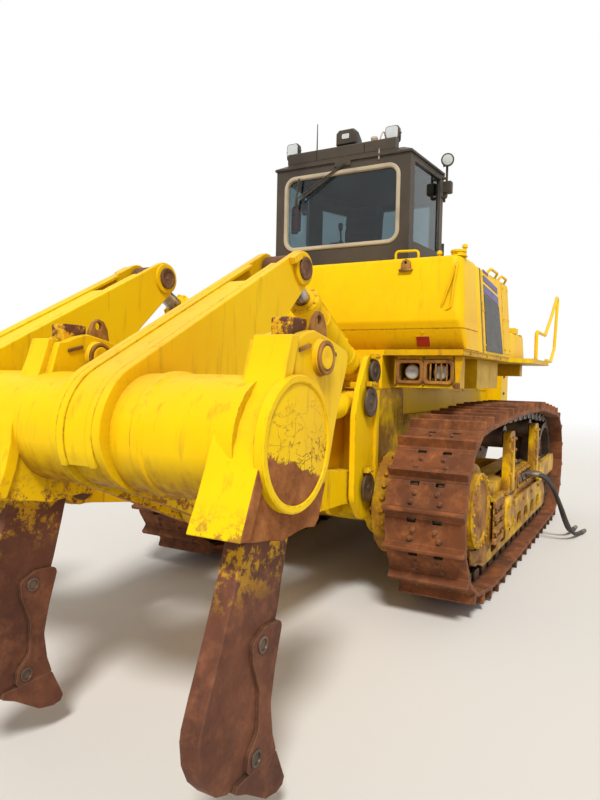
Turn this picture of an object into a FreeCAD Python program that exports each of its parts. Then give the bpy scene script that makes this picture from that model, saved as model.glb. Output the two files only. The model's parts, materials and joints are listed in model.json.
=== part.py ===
import FreeCAD, Part
import math
import os

# A large crawler tractor with a three shank ripper. Lengths are millimetres.
# X points forward, Y to the machine's left, Z up, and the ground is at zero height.
# Places are worked out from the sprocket's centre line. The origin is below the middle of the machine.

Vector = FreeCAD.Vector
Y_AXIS = Vector(0, 1, 0)

# Driving dimensions: name, value.
SIZES = (
    ("gauge", 2500),
    ("wheelbase", 4000),
    ("sprocket_height", 800),
    ("shoe_radius", 660),
    ("idler_radius", 670),
    ("shoe_width", 610),
    ("shoe_thick", 30),
    ("shoe_pitch", 280),
    ("grouser", 80),
    ("link_depth", 95),
    ("carrier_top", 1530),
    ("carrier_rear", 1350),
    ("carrier_front", 2800),
    ("hull_half", 620),
    ("hull_bottom", 620),
    ("deck_height", 2040),
    ("deck_thick", 50),
    ("tank_half", 1310),
    ("tank_top", 2880),
    ("cab_floor_height", 2885),
    ("cab_roof_height", 3880),
    ("cab_wall", 55),
    ("arm_plane", 560),
    ("plate_inside", 105),
    ("plate_thick", 45),
    ("pin_radius", 45),
    ("tube_radius", 270),
    ("shank_spacing", 1330),
    ("shank_thick", 90),
    ("holder_half", 110),
    ("seat_gap", 0.3),
    ("pin_play", 0.5),
    ("centre_offset", 662.07),
)

doc = FreeCAD.newDocument("bulldozer")
sheet = doc.addObject("Spreadsheet::Sheet", "sizes")
for row, (name, value) in enumerate(SIZES, start=1):
    sheet.set("A%d" % row, name)
    sheet.set("B%d" % row, str(value))
    sheet.setAlias("B%d" % row, name)
doc.recompute()


def size(name):
    return float(sheet.get(name))


SHIFT = size("centre_offset")
SEAT = size("seat_gap")
NODES = []


def at(x, y, z):
    """A place given from the sprocket's centre line, in the machine's own frame."""
    return Vector(x - SHIFT, y, z)


def keep(label, piece):
    """Name a finished sub-part, which is written to a file of that name."""
    piece.Label = label
    NODES.append(piece)
    return piece


def bind(piece, prop, value):
    """Give a property a number, or an expression on the sheet's cells."""
    if isinstance(value, str):
        piece.setExpression(prop, value)
    else:
        setattr(piece, prop, value)


def ranged(low, high):
    return min(low, high), max(low, high)


def block(x, y, z):
    """A box from three (low, high) pairs."""
    y = ranged(*y)
    piece = doc.addObject("Part::Box", "block")
    piece.Length = x[1] - x[0]
    piece.Width = y[1] - y[0]
    piece.Height = z[1] - z[0]
    piece.Placement = FreeCAD.Placement(at(x[0], y[0], z[0]), FreeCAD.Rotation())
    return piece


def rod(radius, centre, y):
    """A round bar along Y, through the point centre = (x, z)."""
    y = ranged(*y)
    piece = doc.addObject("Part::Cylinder", "rod")
    bind(piece, "Radius", radius)
    piece.Height = y[1] - y[0]
    turn = FreeCAD.Rotation(Vector(0, 0, 1), Y_AXIS)
    piece.Placement = FreeCAD.Placement(at(centre[0], y[0], centre[1]), turn)
    return piece


def post(radius, foot, top):
    """A round bar between two points."""
    foot = at(*foot)
    top = at(*top)
    piece = doc.addObject("Part::Cylinder", "post")
    bind(piece, "Radius", radius)
    piece.Height = (top - foot).Length
    piece.Placement = FreeCAD.Placement(foot, FreeCAD.Rotation(Vector(0, 0, 1), top - foot))
    return piece


def rounded(corners):
    """Lines and arcs of a closed outline whose corners are (u, v) or (u, v, radius)."""
    count = len(corners)
    cuts = []
    for index, corner in enumerate(corners):
        here = Vector(corner[0], corner[1], 0)
        radius = corner[2] if len(corner) > 2 else 0
        before = Vector(corners[index - 1][0], corners[index - 1][1], 0)
        after = Vector(corners[(index + 1) % count][0], corners[(index + 1) % count][1], 0)
        back = (before - here).normalize()
        ahead = (after - here).normalize()
        half = back.getAngle(ahead) / 2
        reach = radius / math.tan(half) if radius else 0
        middle = here
        if radius:
            inward = (back + ahead).normalize()
            middle = here + inward * (radius / math.sin(half) - radius)
        cuts.append((here + back * reach, middle, here + ahead * reach, radius))
    edges = []
    for index, (start, middle, end, radius) in enumerate(cuts):
        if radius:
            edges.append(Part.Arc(start, middle, end))
        following = cuts[(index + 1) % count][0]
        if (following - end).Length > 0.01:
            edges.append(Part.LineSegment(end, following))
    return edges


def plate(corners, y, holes=()):
    """A plate that stands in the XZ plane between two values of Y, with outlines cut out of it."""
    y = ranged(*y)
    outlines = [rounded(outline) for outline in (corners, *holes)]
    return padded("XZ_Plane", outlines, y[1] - y[0], at(0, y[1], 0))


def slab(corners, z):
    """A plate that lies in the XY plane between two heights."""
    return padded("XY_Plane", [rounded(corners)], z[1] - z[0], at(0, 0, z[0]))


def padded(plane, outlines, thick, base):
    body = doc.addObject("PartDesign::Body", "plate")
    support = [item for item in body.Origin.OriginFeatures if item.Role == plane][0]
    sketch = body.newObject("Sketcher::SketchObject", "outline")
    sketch.AttachmentSupport = [(support, "")]
    sketch.MapMode = "FlatFace"
    for outline in outlines:
        sketch.addGeometry(outline, False)
    pad = body.newObject("PartDesign::Pad", "pad")
    pad.Profile = sketch
    pad.Length = thick
    body.Placement = FreeCAD.Placement(base, FreeCAD.Rotation())
    return body


def join(*pieces):
    fused = doc.addObject("Part::MultiFuse", "joined")
    fused.Shapes = list(pieces)
    fused.Refine = True
    return fused


def cut(base, *tools):
    tool = tools[0] if len(tools) == 1 else join(*tools)
    rest = doc.addObject("Part::Cut", "cut")
    rest.Base = base
    rest.Tool = tool
    rest.Refine = True
    return rest


def mirrored(piece):
    """The same piece on the machine's other side."""
    twin = doc.addObject("Part::Mirroring", "mirrored")
    twin.Source = piece
    twin.Base = Vector(0, 0, 0)
    twin.Normal = Y_AXIS
    return twin


def both(piece):
    return join(piece, mirrored(piece))


def made(label, shape):
    piece = doc.addObject("Part::Feature", label)
    piece.Shape = shape
    return piece


def tapered(first, first_radius, second, second_radius):
    """Outline edges round two circles of different size, given by centres (x, z)."""
    a = Vector(first[0], first[1], 0)
    b = Vector(second[0], second[1], 0)
    along = b - a
    lean = math.acos((first_radius - second_radius) / along.Length)
    heading = math.atan2(along.y, along.x)

    def rim(centre, radius, angles):
        return [centre + Vector(math.cos(angle), math.sin(angle), 0) * radius for angle in angles]

    a_high, a_back, a_low = rim(a, first_radius, (heading + lean, heading + math.pi, heading - lean))
    b_high, b_end, b_low = rim(b, second_radius, (heading + lean, heading, heading - lean))
    return [
        Part.Arc(a_high, a_back, a_low),
        Part.LineSegment(a_low, b_low),
        Part.Arc(b_low, b_end, b_high),
        Part.LineSegment(b_high, a_high),
    ]


def link(first, first_radius, second, second_radius, y):
    """A tapered plate between two bosses."""
    y = ranged(*y)
    outline = tapered(first, first_radius, second, second_radius)
    return padded("XZ_Plane", [outline], y[1] - y[0], at(0, y[1], 0))


def tube_path(points, radius, bend):
    """A bent bar along straight runs with an arc at each corner."""
    spots = [at(*point) for point in points]
    edges = []
    start = spots[0]
    for index in range(1, len(spots) - 1):
        here = spots[index]
        back = (spots[index - 1] - here).normalize()
        ahead = (spots[index + 1] - here).normalize()
        half = back.getAngle(ahead) / 2
        turn = bend if not callable(bend) else bend(spots, index)
        reach = turn / math.tan(half)
        inward = (back + ahead).normalize()
        middle = here + inward * (turn / math.sin(half) - turn)
        edges.append(Part.LineSegment(start, here + back * reach).toShape())
        edges.append(Part.Arc(here + back * reach, middle, here + ahead * reach).toShape())
        start = here + ahead * reach
    edges.append(Part.LineSegment(start, spots[-1]).toShape())
    path = Part.Wire(edges)
    ring = Part.Wire([Part.Circle(spots[0], spots[1] - spots[0], radius).toShape()])
    return path.makePipeShell([ring], True, True)


# Track

TRACK_MIDDLE = size("gauge") / 2
AXLE = size("sprocket_height")
FACE_TO_ROLLER = size("shoe_thick") + size("link_depth")
CARRIER_RADIUS = 115
CARRIER_WEAR = 6
CARRIER_HEIGHT = size("carrier_top") - FACE_TO_ROLLER - SEAT - CARRIER_RADIUS
ROLLER_RADIUS = 125
ROLLER_HEIGHT = size("grouser") + FACE_TO_ROLLER + SEAT + ROLLER_RADIUS
IDLER_HEIGHT = size("grouser") + size("idler_radius")
LIFT_OFF_X = 430

# Wheels that the shoes' outer face goes round, in order: x, z, radius to that face.
carrier_face = size("carrier_top") - CARRIER_HEIGHT
ROUND_WHEELS = (
    (0, AXLE, size("shoe_radius")),
    (size("carrier_rear"), CARRIER_HEIGHT, carrier_face),
    (size("carrier_front"), CARRIER_HEIGHT, carrier_face),
    (size("wheelbase"), IDLER_HEIGHT, size("idler_radius")),
    (LIFT_OFF_X, ROLLER_HEIGHT, ROLLER_HEIGHT - size("grouser")),
)


def belt():
    """Arcs and lines of the closed loop, clockwise, as (length, place function)."""
    count = len(ROUND_WHEELS)
    leaves = []
    for index in range(count):
        x0, z0, r0 = ROUND_WHEELS[index]
        x1, z1, r1 = ROUND_WHEELS[(index + 1) % count]
        distance = math.hypot(x1 - x0, z1 - z0)
        heading = math.atan2(z1 - z0, x1 - x0)
        leaves.append(heading + math.acos((r0 - r1) / distance))
    pieces = []
    for index in range(count):
        x, z, radius = ROUND_WHEELS[index]
        entry = leaves[index - 1]
        leave = leaves[index]
        swept = (entry - leave) % (2 * math.pi)
        pieces.append(("arc", x, z, radius, entry, swept))
        x1, z1, r1 = ROUND_WHEELS[(index + 1) % count]
        start = (x + radius * math.cos(leave), z + radius * math.sin(leave))
        end = (x1 + r1 * math.cos(leave), z1 + r1 * math.sin(leave))
        pieces.append(("line", start, end, leave))
    return pieces


def belt_length(piece):
    if piece[0] == "arc":
        return piece[3] * piece[5]
    return math.dist(piece[1], piece[2])


BELT = belt()
LOOP = sum(belt_length(piece) for piece in BELT)
SHOES = round(LOOP / size("shoe_pitch"))
STEP = LOOP / SHOES


def on_belt(travel, outward):
    """The point at a distance along the loop, moved out from the shoes' face."""
    travel = travel % LOOP
    for piece in BELT:
        length = belt_length(piece)
        if travel <= length:
            break
        travel -= length
    if piece[0] == "arc":
        angle = piece[4] - travel / piece[3]
        reach = piece[3] + outward
        return (piece[1] + reach * math.cos(angle), piece[2] + reach * math.sin(angle))
    share = travel / length
    x = piece[1][0] + (piece[2][0] - piece[1][0]) * share + outward * math.cos(piece[3])
    z = piece[1][1] + (piece[2][1] - piece[1][1]) * share + outward * math.sin(piece[3])
    return (x, z)


# One shoe's outline as (share of the pitch from its middle, height above its face).
SHOE_OUTLINE = (
    (-0.4, 0),
    (-0.35, size("grouser")),
    (-0.26, size("grouser")),
    (-0.2, 0),
    (0.47, 0),
    (0.5, -15),
)


def ring(outer, inner, y):
    """A closed band between two outlines of (x, z) points."""
    y = ranged(*y)
    faces = []
    for points in (outer, inner):
        corners = [at(x, y[0], z) for x, z in points]
        faces.append(Part.Face(Part.makePolygon(corners + corners[:1])))
    return faces[0].cut(faces[1]).extrude(Vector(0, y[1] - y[0], 0))


def track_shape(side):
    middle = side * TRACK_MIDDLE
    outer = []
    seat = []
    inner = []
    for shoe in range(SHOES):
        for share, height in SHOE_OUTLINE:
            outer.append(on_belt((shoe + share) * STEP, height))
        for share in (-0.5, 0):
            seat.append(on_belt((shoe + share) * STEP, -size("shoe_thick")))
            inner.append(on_belt((shoe + share) * STEP, -FACE_TO_ROLLER))
    half = size("shoe_width") / 2
    pieces = [ring(outer, seat, (middle - half, middle + half))]
    for rail in (-1, 1):
        pieces.append(ring(seat, inner, (middle + rail * LINK_INSIDE, middle + rail * LINK_OUTSIDE)))
    return pieces[0].fuse(pieces[1:])


LINK_INSIDE = 70
LINK_OUTSIDE = 150

for label, side in (("track_right", -1), ("track_left", 1)):
    keep(label, made(label, track_shape(side)))

# Sprockets, idlers and rollers

SPROCKET_TEETH = 27
TOOTH_TIP = size("shoe_radius") - size("shoe_thick") - 45
TOOTH_ROOT = TOOTH_TIP - 60
HUB_RADIUS = 370


def sprocket_outline():
    corners = []
    for tooth in range(SPROCKET_TEETH):
        for share, radius in ((0, TOOTH_ROOT), (0.3, TOOTH_ROOT), (0.5, TOOTH_TIP), (0.8, TOOTH_TIP)):
            angle = 2 * math.pi * (tooth + share) / SPROCKET_TEETH
            corners.append((radius * math.cos(angle), AXLE + radius * math.sin(angle)))
    return corners


TOOTH_HALF = 45
sprocket = cut(
    plate(sprocket_outline(), (TRACK_MIDDLE - TOOTH_HALF, TRACK_MIDDLE + TOOTH_HALF)),
    rod(HUB_RADIUS + SEAT, (0, AXLE), (TRACK_MIDDLE - TOOTH_HALF - 5, TRACK_MIDDLE + TOOTH_HALF + 5)),
)
keep("sprockets", both(sprocket))

DRIVE_NECK = (size("hull_half") + SEAT, 760)
DRIVE_FLANGE = (745, 900)
final_drive = join(
    rod(290, (0, AXLE), DRIVE_NECK),
    rod(430, (0, AXLE), DRIVE_FLANGE),
    rod(HUB_RADIUS, (0, AXLE), (900, 1440)),
    rod(300, (0, AXLE), (1440, 1495)),
)
keep("final_drives", both(final_drive))

# The rails run round the idler as a polygon with two sides for each shoe.
flat_share = math.cos(STEP / 4 / size("idler_radius"))
IDLER_TREAD = (size("idler_radius") - FACE_TO_ROLLER) * flat_share - SEAT
GUARD_IN = 175
GUARD_OUT = 205
IDLER_ARM = (GUARD_OUT + 5, GUARD_OUT + 50)
idler_place = (size("wheelbase"), IDLER_HEIGHT)
idler = join(
    rod(IDLER_TREAD, idler_place, (TRACK_MIDDLE - 150, TRACK_MIDDLE + 150)),
    rod(IDLER_TREAD + 30, idler_place, (TRACK_MIDDLE - 60, TRACK_MIDDLE + 60)),
)
hollow = rod(IDLER_TREAD - 70, idler_place, (TRACK_MIDDLE + 60, TRACK_MIDDLE + 160))
hollow_inside = rod(IDLER_TREAD - 70, idler_place, (TRACK_MIDDLE - 160, TRACK_MIDDLE - 60))
hub_half = IDLER_ARM[0] - SEAT
hub = rod(110, idler_place, (TRACK_MIDDLE - hub_half, TRACK_MIDDLE + hub_half))
keep("idlers", both(join(cut(idler, hollow, hollow_inside), hub)))

ROLLER_HALF = 155
ROLLERS = 8
ROLLER_FIRST = 560
ROLLER_LAST = size("wheelbase") - 580
ROLLER_STEP = (ROLLER_LAST - ROLLER_FIRST) / (ROLLERS - 1)


def roller(radius, place, axle_radius, inside, outside):
    """A roller with its axle, which ends at the carriers inside and outside the track's middle."""
    return join(
        rod(radius, place, (TRACK_MIDDLE - ROLLER_HALF, TRACK_MIDDLE + ROLLER_HALF)),
        rod(axle_radius, place, (TRACK_MIDDLE - inside, TRACK_MIDDLE + outside)),
    )


rollers = []
for index in range(ROLLERS):
    place = (ROLLER_FIRST + ROLLER_STEP * index, ROLLER_HEIGHT)
    rollers.append(roller(ROLLER_RADIUS, place, 50, GUARD_IN - SEAT, GUARD_IN - SEAT))
keep("track_rollers", both(join(*rollers)))

STAND = (165, 235)
carriers = []
for x in (size("carrier_rear"), size("carrier_front")):
    carriers.append(roller(CARRIER_RADIUS - CARRIER_WEAR, (x, CARRIER_HEIGHT), 45, 0, STAND[0] - SEAT))
keep("carrier_rollers", both(join(*carriers)))

# Track frames

FRAME_LOW = ROLLER_HEIGHT + ROLLER_RADIUS + 10
FRAME_HIGH = 900
FRAME_REAR = 660
FRAME_FRONT = size("wheelbase") - 620
FRAME_HALF = 170

frame_beam = plate(
    (
        (FRAME_REAR, FRAME_LOW, 40),
        (FRAME_FRONT, FRAME_LOW, 40),
        (FRAME_FRONT, FRAME_HIGH - 60, 40),
        (FRAME_FRONT - 500, FRAME_HIGH, 40),
        (FRAME_REAR, FRAME_HIGH, 40),
    ),
    (TRACK_MIDDLE - FRAME_HALF, TRACK_MIDDLE + FRAME_HALF),
)


def roller_guard(low, high):
    openings = []
    for index in range(ROLLERS - 1):
        middle = ROLLER_FIRST + ROLLER_STEP * (index + 0.5)
        corners = (
            (middle - 130, 300, 40),
            (middle + 130, 300, 40),
            (middle + 90, 440, 40),
            (middle - 90, 440, 40),
        )
        openings.append(corners)
    outline = (
        (150, 330, 30),
        (360, 250, 60),
        (size("wheelbase") - 300, 250, 60),
        (size("wheelbase") - 240, 420, 60),
        (size("wheelbase") - 440, 620, 80),
        (430, 620, 60),
        (300, 480, 60),
    )
    return plate(outline, (low, high), openings)


guards = []
for side in (-1, 1):
    guards.append(roller_guard(TRACK_MIDDLE + side * GUARD_IN, TRACK_MIDDLE + side * GUARD_OUT))

idler_arms = []
for side in (-1, 1):
    idler_arms.append(
        plate(
            (
                (FRAME_FRONT - 400, 640, 40),
                (FRAME_FRONT - 400, 860, 40),
                (size("wheelbase") + 130, 880, 90),
                (size("wheelbase") + 130, 660, 90),
            ),
            (TRACK_MIDDLE + side * IDLER_ARM[0], TRACK_MIDDLE + side * IDLER_ARM[1]),
        )
    )
bridges = []
for side in (-1, 1):
    near = TRACK_MIDDLE + side * FRAME_HALF
    bridges.append(block((800, FRAME_FRONT - 80), (near, near + side * 5), (FRAME_LOW + 20, 600)))
    arm_bridge = (near, near + side * (IDLER_ARM[0] - FRAME_HALF))
    bridges.append(block((FRAME_FRONT - 380, FRAME_FRONT - 30), arm_bridge, (660, 840)))

CARRIER_STAND = 150
stands = []
for x in (size("carrier_rear"), size("carrier_front")):
    outline = (
        (x - CARRIER_STAND, FRAME_HIGH - 150),
        (x + CARRIER_STAND, FRAME_HIGH - 150),
        (x + 110, CARRIER_HEIGHT + 60, 50),
        (x - 110, CARRIER_HEIGHT + 60, 50),
    )
    stands.append(plate(outline, (TRACK_MIDDLE + STAND[0], TRACK_MIDDLE + STAND[1])))

PAD = {"x": (400, 1240), "z": (430, 790), "y": (TRACK_MIDDLE + STAND[0], TRACK_MIDDLE + STAND[1])}
PAD_BARS = 4
PAD_HOLE = {"radius": 18, "x": (460, 1180), "z": (470, 750), "depth": 60}
pad = block(PAD["x"], PAD["y"], PAD["z"])
pad_holes = []
for x in PAD_HOLE["x"]:
    for z in PAD_HOLE["z"]:
        pad_holes.append(rod(PAD_HOLE["radius"], (x, z), (PAD["y"][1] - PAD_HOLE["depth"], PAD["y"][1] + 5)))
bars = []
for index in range(PAD_BARS):
    middle = PAD_HOLE["x"][0] + (PAD_HOLE["x"][1] - PAD_HOLE["x"][0]) * (index + 0.5) / PAD_BARS
    bar_height = (PAD["z"][0] + 20, PAD["z"][1] - 20)
    bars.append(block((middle - 40, middle + 40), (PAD["y"][1], PAD["y"][1] + 25), bar_height))

track_frame = cut(join(frame_beam, pad, *guards, *idler_arms, *bridges, *stands, *bars), *pad_holes)

PIVOT = (1000, 760)
EQUALIZER = (size("wheelbase") - 900, 760)
cross_bars = []
for place in (PIVOT, EQUALIZER):
    cross_bars.append(rod(95, place, (size("hull_half"), TRACK_MIDDLE - FRAME_HALF)))
keep("track_frames", both(join(track_frame, *cross_bars)))

# Main frame, engine, hood and radiator guard

HULL_REAR = -300
HULL_STEP = 590
HULL_HIGH_REAR = 1750
HULL_HIGH = 1500
HULL_FRONT = 4250
hull_half = size("hull_half")
hull = plate(
    (
        (HULL_REAR, 720, 60),
        (HULL_REAR, HULL_HIGH_REAR, 40),
        (HULL_STEP, HULL_HIGH_REAR, 40),
        (HULL_STEP, HULL_HIGH),
        (HULL_FRONT, HULL_HIGH, 40),
        (HULL_FRONT, 950, 40),
        (HULL_FRONT - 350, size("hull_bottom"), 60),
        (HULL_REAR + 180, size("hull_bottom"), 60),
    ),
    (-hull_half, hull_half),
)
keep("main_frame", hull)

HOOD = {"x": (2150, 4240), "half": 560, "top": 2740, "wall": 30, "fall": 100, "cover": 40}
keep("engine_block", block((2420, 4050), (-400, 400), (HULL_HIGH, 2480)))

hood_side = plate(
    (
        (HOOD["x"][0], HULL_HIGH, 0),
        (HOOD["x"][1], HULL_HIGH, 0),
        (HOOD["x"][1], HOOD["top"] - HOOD["fall"], 0),
        (HOOD["x"][0], HOOD["top"], 0),
    ),
    (HOOD["half"] - HOOD["wall"], HOOD["half"]),
    [((3300, 1750, 40), (3900, 1750, 40), (3900, 2350, 40), (3300, 2350, 40))],
)
keep("hood_sides", both(hood_side))
hood_top = plate(
    (
        (HOOD["x"][0], HOOD["top"]),
        (HOOD["x"][1], HOOD["top"] - HOOD["fall"]),
        (HOOD["x"][1], HOOD["top"] - HOOD["fall"] + HOOD["cover"]),
        (HOOD["x"][0], HOOD["top"] + HOOD["cover"]),
    ),
    (-HOOD["half"], HOOD["half"]),
)
keep("hood_top", hood_top)

GUARD = {"x": (HULL_FRONT + SEAT, 4700), "half": 760, "z": (1080, 2700), "wall": 70}
radiator_shell = cut(
    plate(
        (
            (GUARD["x"][0], GUARD["z"][0]),
            (GUARD["x"][1], GUARD["z"][0], 60),
            (GUARD["x"][1], GUARD["z"][1] - 80, 60),
            (GUARD["x"][0], GUARD["z"][1]),
        ),
        (-GUARD["half"], GUARD["half"]),
    ),
    block(
        (GUARD["x"][0] + 90, GUARD["x"][1] + 10),
        (-GUARD["half"] + GUARD["wall"], GUARD["half"] - GUARD["wall"]),
        (GUARD["z"][0] + GUARD["wall"], GUARD["z"][1] - 160),
    ),
)

grille_half = GUARD["half"] - GUARD["wall"] - SEAT
grille_edge = (-grille_half, grille_half)
grille_low = GUARD["z"][0] + GUARD["wall"] + SEAT
grille_high = GUARD["z"][1] - 160 - SEAT
GRILLE_X = (GUARD["x"][1] - 110, GUARD["x"][1] - 60)
SLATS = 12
slats = []
for index in range(SLATS):
    height = grille_low + 60 + (grille_high - grille_low - 130) * index / (SLATS - 1)
    slats.append(block(GRILLE_X, grille_edge, (height, height + 20)))
for y in (grille_edge[0], -30, grille_edge[1] - 60):
    slats.append(block(GRILLE_X, (y, y + 60), (grille_low, grille_high)))
keep("radiator_grille", join(*slats))

TOW_HOOK = {"x": (HULL_FRONT, HULL_FRONT + 310), "half": 130, "z": (700, 1000), "slot": (800, 900)}
tow_pin = HULL_FRONT + 200
tow_hook = cut(
    slab(
        (
            (TOW_HOOK["x"][0], -TOW_HOOK["half"]),
            (TOW_HOOK["x"][1], -TOW_HOOK["half"], 110),
            (TOW_HOOK["x"][1], TOW_HOOK["half"], 110),
            (TOW_HOOK["x"][0], TOW_HOOK["half"]),
        ),
        TOW_HOOK["z"],
    ),
    block((HULL_FRONT + 90, TOW_HOOK["x"][1] + 5), (-TOW_HOOK["half"] - 5, TOW_HOOK["half"] + 5), TOW_HOOK["slot"]),
    post(45, (tow_pin, 0, TOW_HOOK["z"][0] - 5), (tow_pin, 0, TOW_HOOK["z"][1] + 5)),
)
keep("tow_hook", tow_hook)

YOKE = {"x": (4360, 4620), "y": (760, 900), "z": (2330, 2600)}
yoke_bore = (4490, 2465)
yoke = cut(block(YOKE["x"], YOKE["y"], YOKE["z"]), rod(60, yoke_bore, (YOKE["y"][0] + 30, YOKE["y"][1] + 5)))
keep("radiator_guard", join(radiator_shell, both(yoke)))

# Deck, tank and side boxes

DECK_LOW = size("deck_height")
DECK_HIGH = DECK_LOW + size("deck_thick")
tank_half = size("tank_half")
DECK_OUT = tank_half + 190
deck = slab(
    (
        (80, 625),
        (80, tank_half),
        (1900, tank_half),
        (2300, DECK_OUT, 60),
        (3500, DECK_OUT, 60),
        (3500, 625),
    ),
    (DECK_LOW, DECK_HIGH),
)
support = block((1000, 1900), (640, 1200), (1760, DECK_LOW))
front_support = block((2900, 3050), (HOOD["half"], 1250), (1900, DECK_LOW))
keep("fenders", both(join(deck, support, front_support)))

platform = join(
    block((90, 2130), (-620, 620), (DECK_LOW, DECK_HIGH)),
    block((90, HULL_STEP), (-600, 600), (HULL_HIGH_REAR, DECK_LOW)),
    block((HULL_STEP + 10, 2130), (-600, 600), (HULL_HIGH, DECK_LOW)),
    block((640, 2100), (-620, 620), (DECK_HIGH, size("cab_floor_height"))),
)
keep("platform", platform)

TANK_SHORTER = 160
tank_left = tank_half - TANK_SHORTER
TANK_BOTTOM = DECK_HIGH + SEAT
TANK_FRONT = 600
tank_profile = plate(
    (
        (190, TANK_BOTTOM, 20),
        (TANK_FRONT, TANK_BOTTOM, 20),
        (TANK_FRONT, size("tank_top"), 30),
        (150, size("tank_top"), 60),
        (80, 2330, 30),
    ),
    (-tank_half, tank_left),
)
TANK_LEAN = 60
tank_rear_view = padded(
    "YZ_Plane",
    [
        rounded(
            (
                (-tank_half, TANK_BOTTOM - 5),
                (tank_left, TANK_BOTTOM - 5),
                (tank_left - TANK_LEAN, size("tank_top"), 90),
                (TANK_LEAN - tank_half, size("tank_top"), 90),
            )
        )
    ],
    TANK_FRONT + 50,
    at(0, 0, 0),
)
tank = doc.addObject("Part::MultiCommon", "tank")
tank.Shapes = [tank_profile, tank_rear_view]

FITTINGS = (
    # y, foot x, radius, height
    (160 - tank_half, 250, 62, 90),
    (270 - tank_half, 230, 22, 80),
    (120 - tank_half, 420, 20, 170),
    (tank_left - 190, 250, 62, 90),
)
fittings = []
for y, x, radius, height in FITTINGS:
    foot = size("tank_top") - 40
    fittings.append(post(radius, (x, y, foot), (x, y, foot + height)))
keep("fuel_tank", join(tank, *fittings))

LAMP_BOX = {"x": (130, 400), "y": (700, tank_half - 70), "z": (1765, DECK_LOW)}
lamp_box = cut(
    block(LAMP_BOX["x"], LAMP_BOX["y"], LAMP_BOX["z"]),
    block((LAMP_BOX["x"][0] - 5, LAMP_BOX["x"][1] - 30), (730, 945), (1810, 1990)),
    block((LAMP_BOX["x"][0] - 5, LAMP_BOX["x"][1] - 30), (975, tank_half - 100), (1810, 1990)),
)
keep("lamp_boxes", both(lamp_box))

SIDE_BOX = {"x": (630, 2000), "y": (880, tank_half), "z": (DECK_HIGH, 2870)}
STEP_BOX = {"x": (SIDE_BOX["x"][1], 2900), "y": (930, tank_half), "z": (DECK_HIGH, 2380)}
side_box = join(
    block(SIDE_BOX["x"], SIDE_BOX["y"], SIDE_BOX["z"]),
    block(STEP_BOX["x"], STEP_BOX["y"], STEP_BOX["z"]),
)
keep("side_box_left", side_box)
keep("side_box_right", mirrored(side_box))

RAIL_Y = DECK_OUT - 40
RAIL = (
    (3480, RAIL_Y, DECK_HIGH + 20),
    (3900, RAIL_Y, DECK_HIGH + 20),
    (4200, RAIL_Y, 2300),
    (4420, RAIL_Y, 3080),
    (3850, RAIL_Y, 2700),
    (3350, RAIL_Y, 2420),
    (2700, RAIL_Y, 2420),
    (2700, RAIL_Y, DECK_HIGH),
)
rails = []
for side in (-1, 1):
    path = [(x, side * y, z) for x, y, z in RAIL]
    rails.append(tube_path(path, 20, 60))
keep("handrails", made("handrails", rails[0].fuse(rails[1:])))

PIPE_START = HOOD["half"] + SEAT
PIPES = (
    ((2300, -PIPE_START, 2470), (2300, -800, 2470), (2300, -800, 2720), (2520, -860, 2720)),
    ((2480, -PIPE_START, 2440), (2480, -880, 2440), (2480, -880, 2660), (2720, -880, 2680)),
)
pipes = [tube_path(path, 45, 90) for path in PIPES]
keep("steel_pipes", made("steel_pipes", pipes[0].fuse(pipes[1:])))



def hood_surface(x):
    """Height of the sloping hood's upper face."""
    share = (x - HOOD["x"][0]) / (HOOD["x"][1] - HOOD["x"][0])
    return HOOD["top"] + HOOD["cover"] - HOOD["fall"] * share


stack = join(
    post(90, (3300, 250, hood_surface(3300) - 40), (3300, 250, 3300)),
    post(110, (3300, 250, 2850), (3300, 250, 3200)),
)
keep("exhaust_stack", cut(stack, hood_top))
cleaner = join(
    post(70, (2600, 350, hood_surface(2600) - 40), (2600, 350, 3000)),
    post(160, (2600, 350, 3000), (2600, 350, 3250)),
)
keep("air_cleaner", cut(cleaner, hood_top))

# Cab

FLOOR_LOW = size("cab_floor_height")
FLOOR_HIGH = FLOOR_LOW + 60
ROOF_LOW = size("cab_roof_height")
ROOF_EDGE = ROOF_LOW + 20
ROOF_HIGH = ROOF_LOW + 90
WALL = size("cab_wall")
REAR_X = 400
MIDDLE_X = 1200
FRONT_X = 2080
REAR_HALF = 700
MIDDLE_HALF = 760
FRONT_HALF = 440


def cab_plan(grow):
    """The cab's six sided plan, grown outward by a distance."""
    right = (
        (REAR_X - grow, -REAR_HALF - grow),
        (MIDDLE_X, -MIDDLE_HALF - grow),
        (FRONT_X + grow, -FRONT_HALF - grow),
    )
    left = [(x, -y) for x, y in reversed(right)]
    return (*right, *left)


keep("cab_floor", slab(cab_plan(0), (FLOOR_LOW, FLOOR_HIGH)))


def plan_wire(grow, z):
    corners = [at(x, y, z) for x, y in cab_plan(grow)]
    return Part.makePolygon(corners + corners[:1])


roof_edge = Part.Face(plan_wire(15, ROOF_LOW)).extrude(Vector(0, 0, ROOF_EDGE - ROOF_LOW))
roof_cap = Part.makeLoft([plan_wire(15, ROOF_EDGE), plan_wire(-110, ROOF_HIGH)], True, True)
keep("cab_roof", made("cab_roof", roof_edge.fuse(roof_cap)))

SILL = FLOOR_HIGH + 50
HEAD = ROOF_LOW - 60


REAR_CORNER = Vector(REAR_X, REAR_HALF, 0)
MIDDLE_CORNER = Vector(MIDDLE_X, MIDDLE_HALF, 0)
FRONT_CORNER = Vector(FRONT_X, FRONT_HALF, 0)
REAR_FACE = (REAR_CORNER, MIDDLE_CORNER)
DOOR_FACE = (MIDDLE_CORNER, FRONT_CORNER)


def on_face(face, distance, outward):
    """A place on one of the left side's faces, that far along it from its rear corner."""
    along = (face[1] - face[0]).normalize()
    return face[0] + along * distance + Vector(-along.y, along.x, 0) * outward


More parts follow.
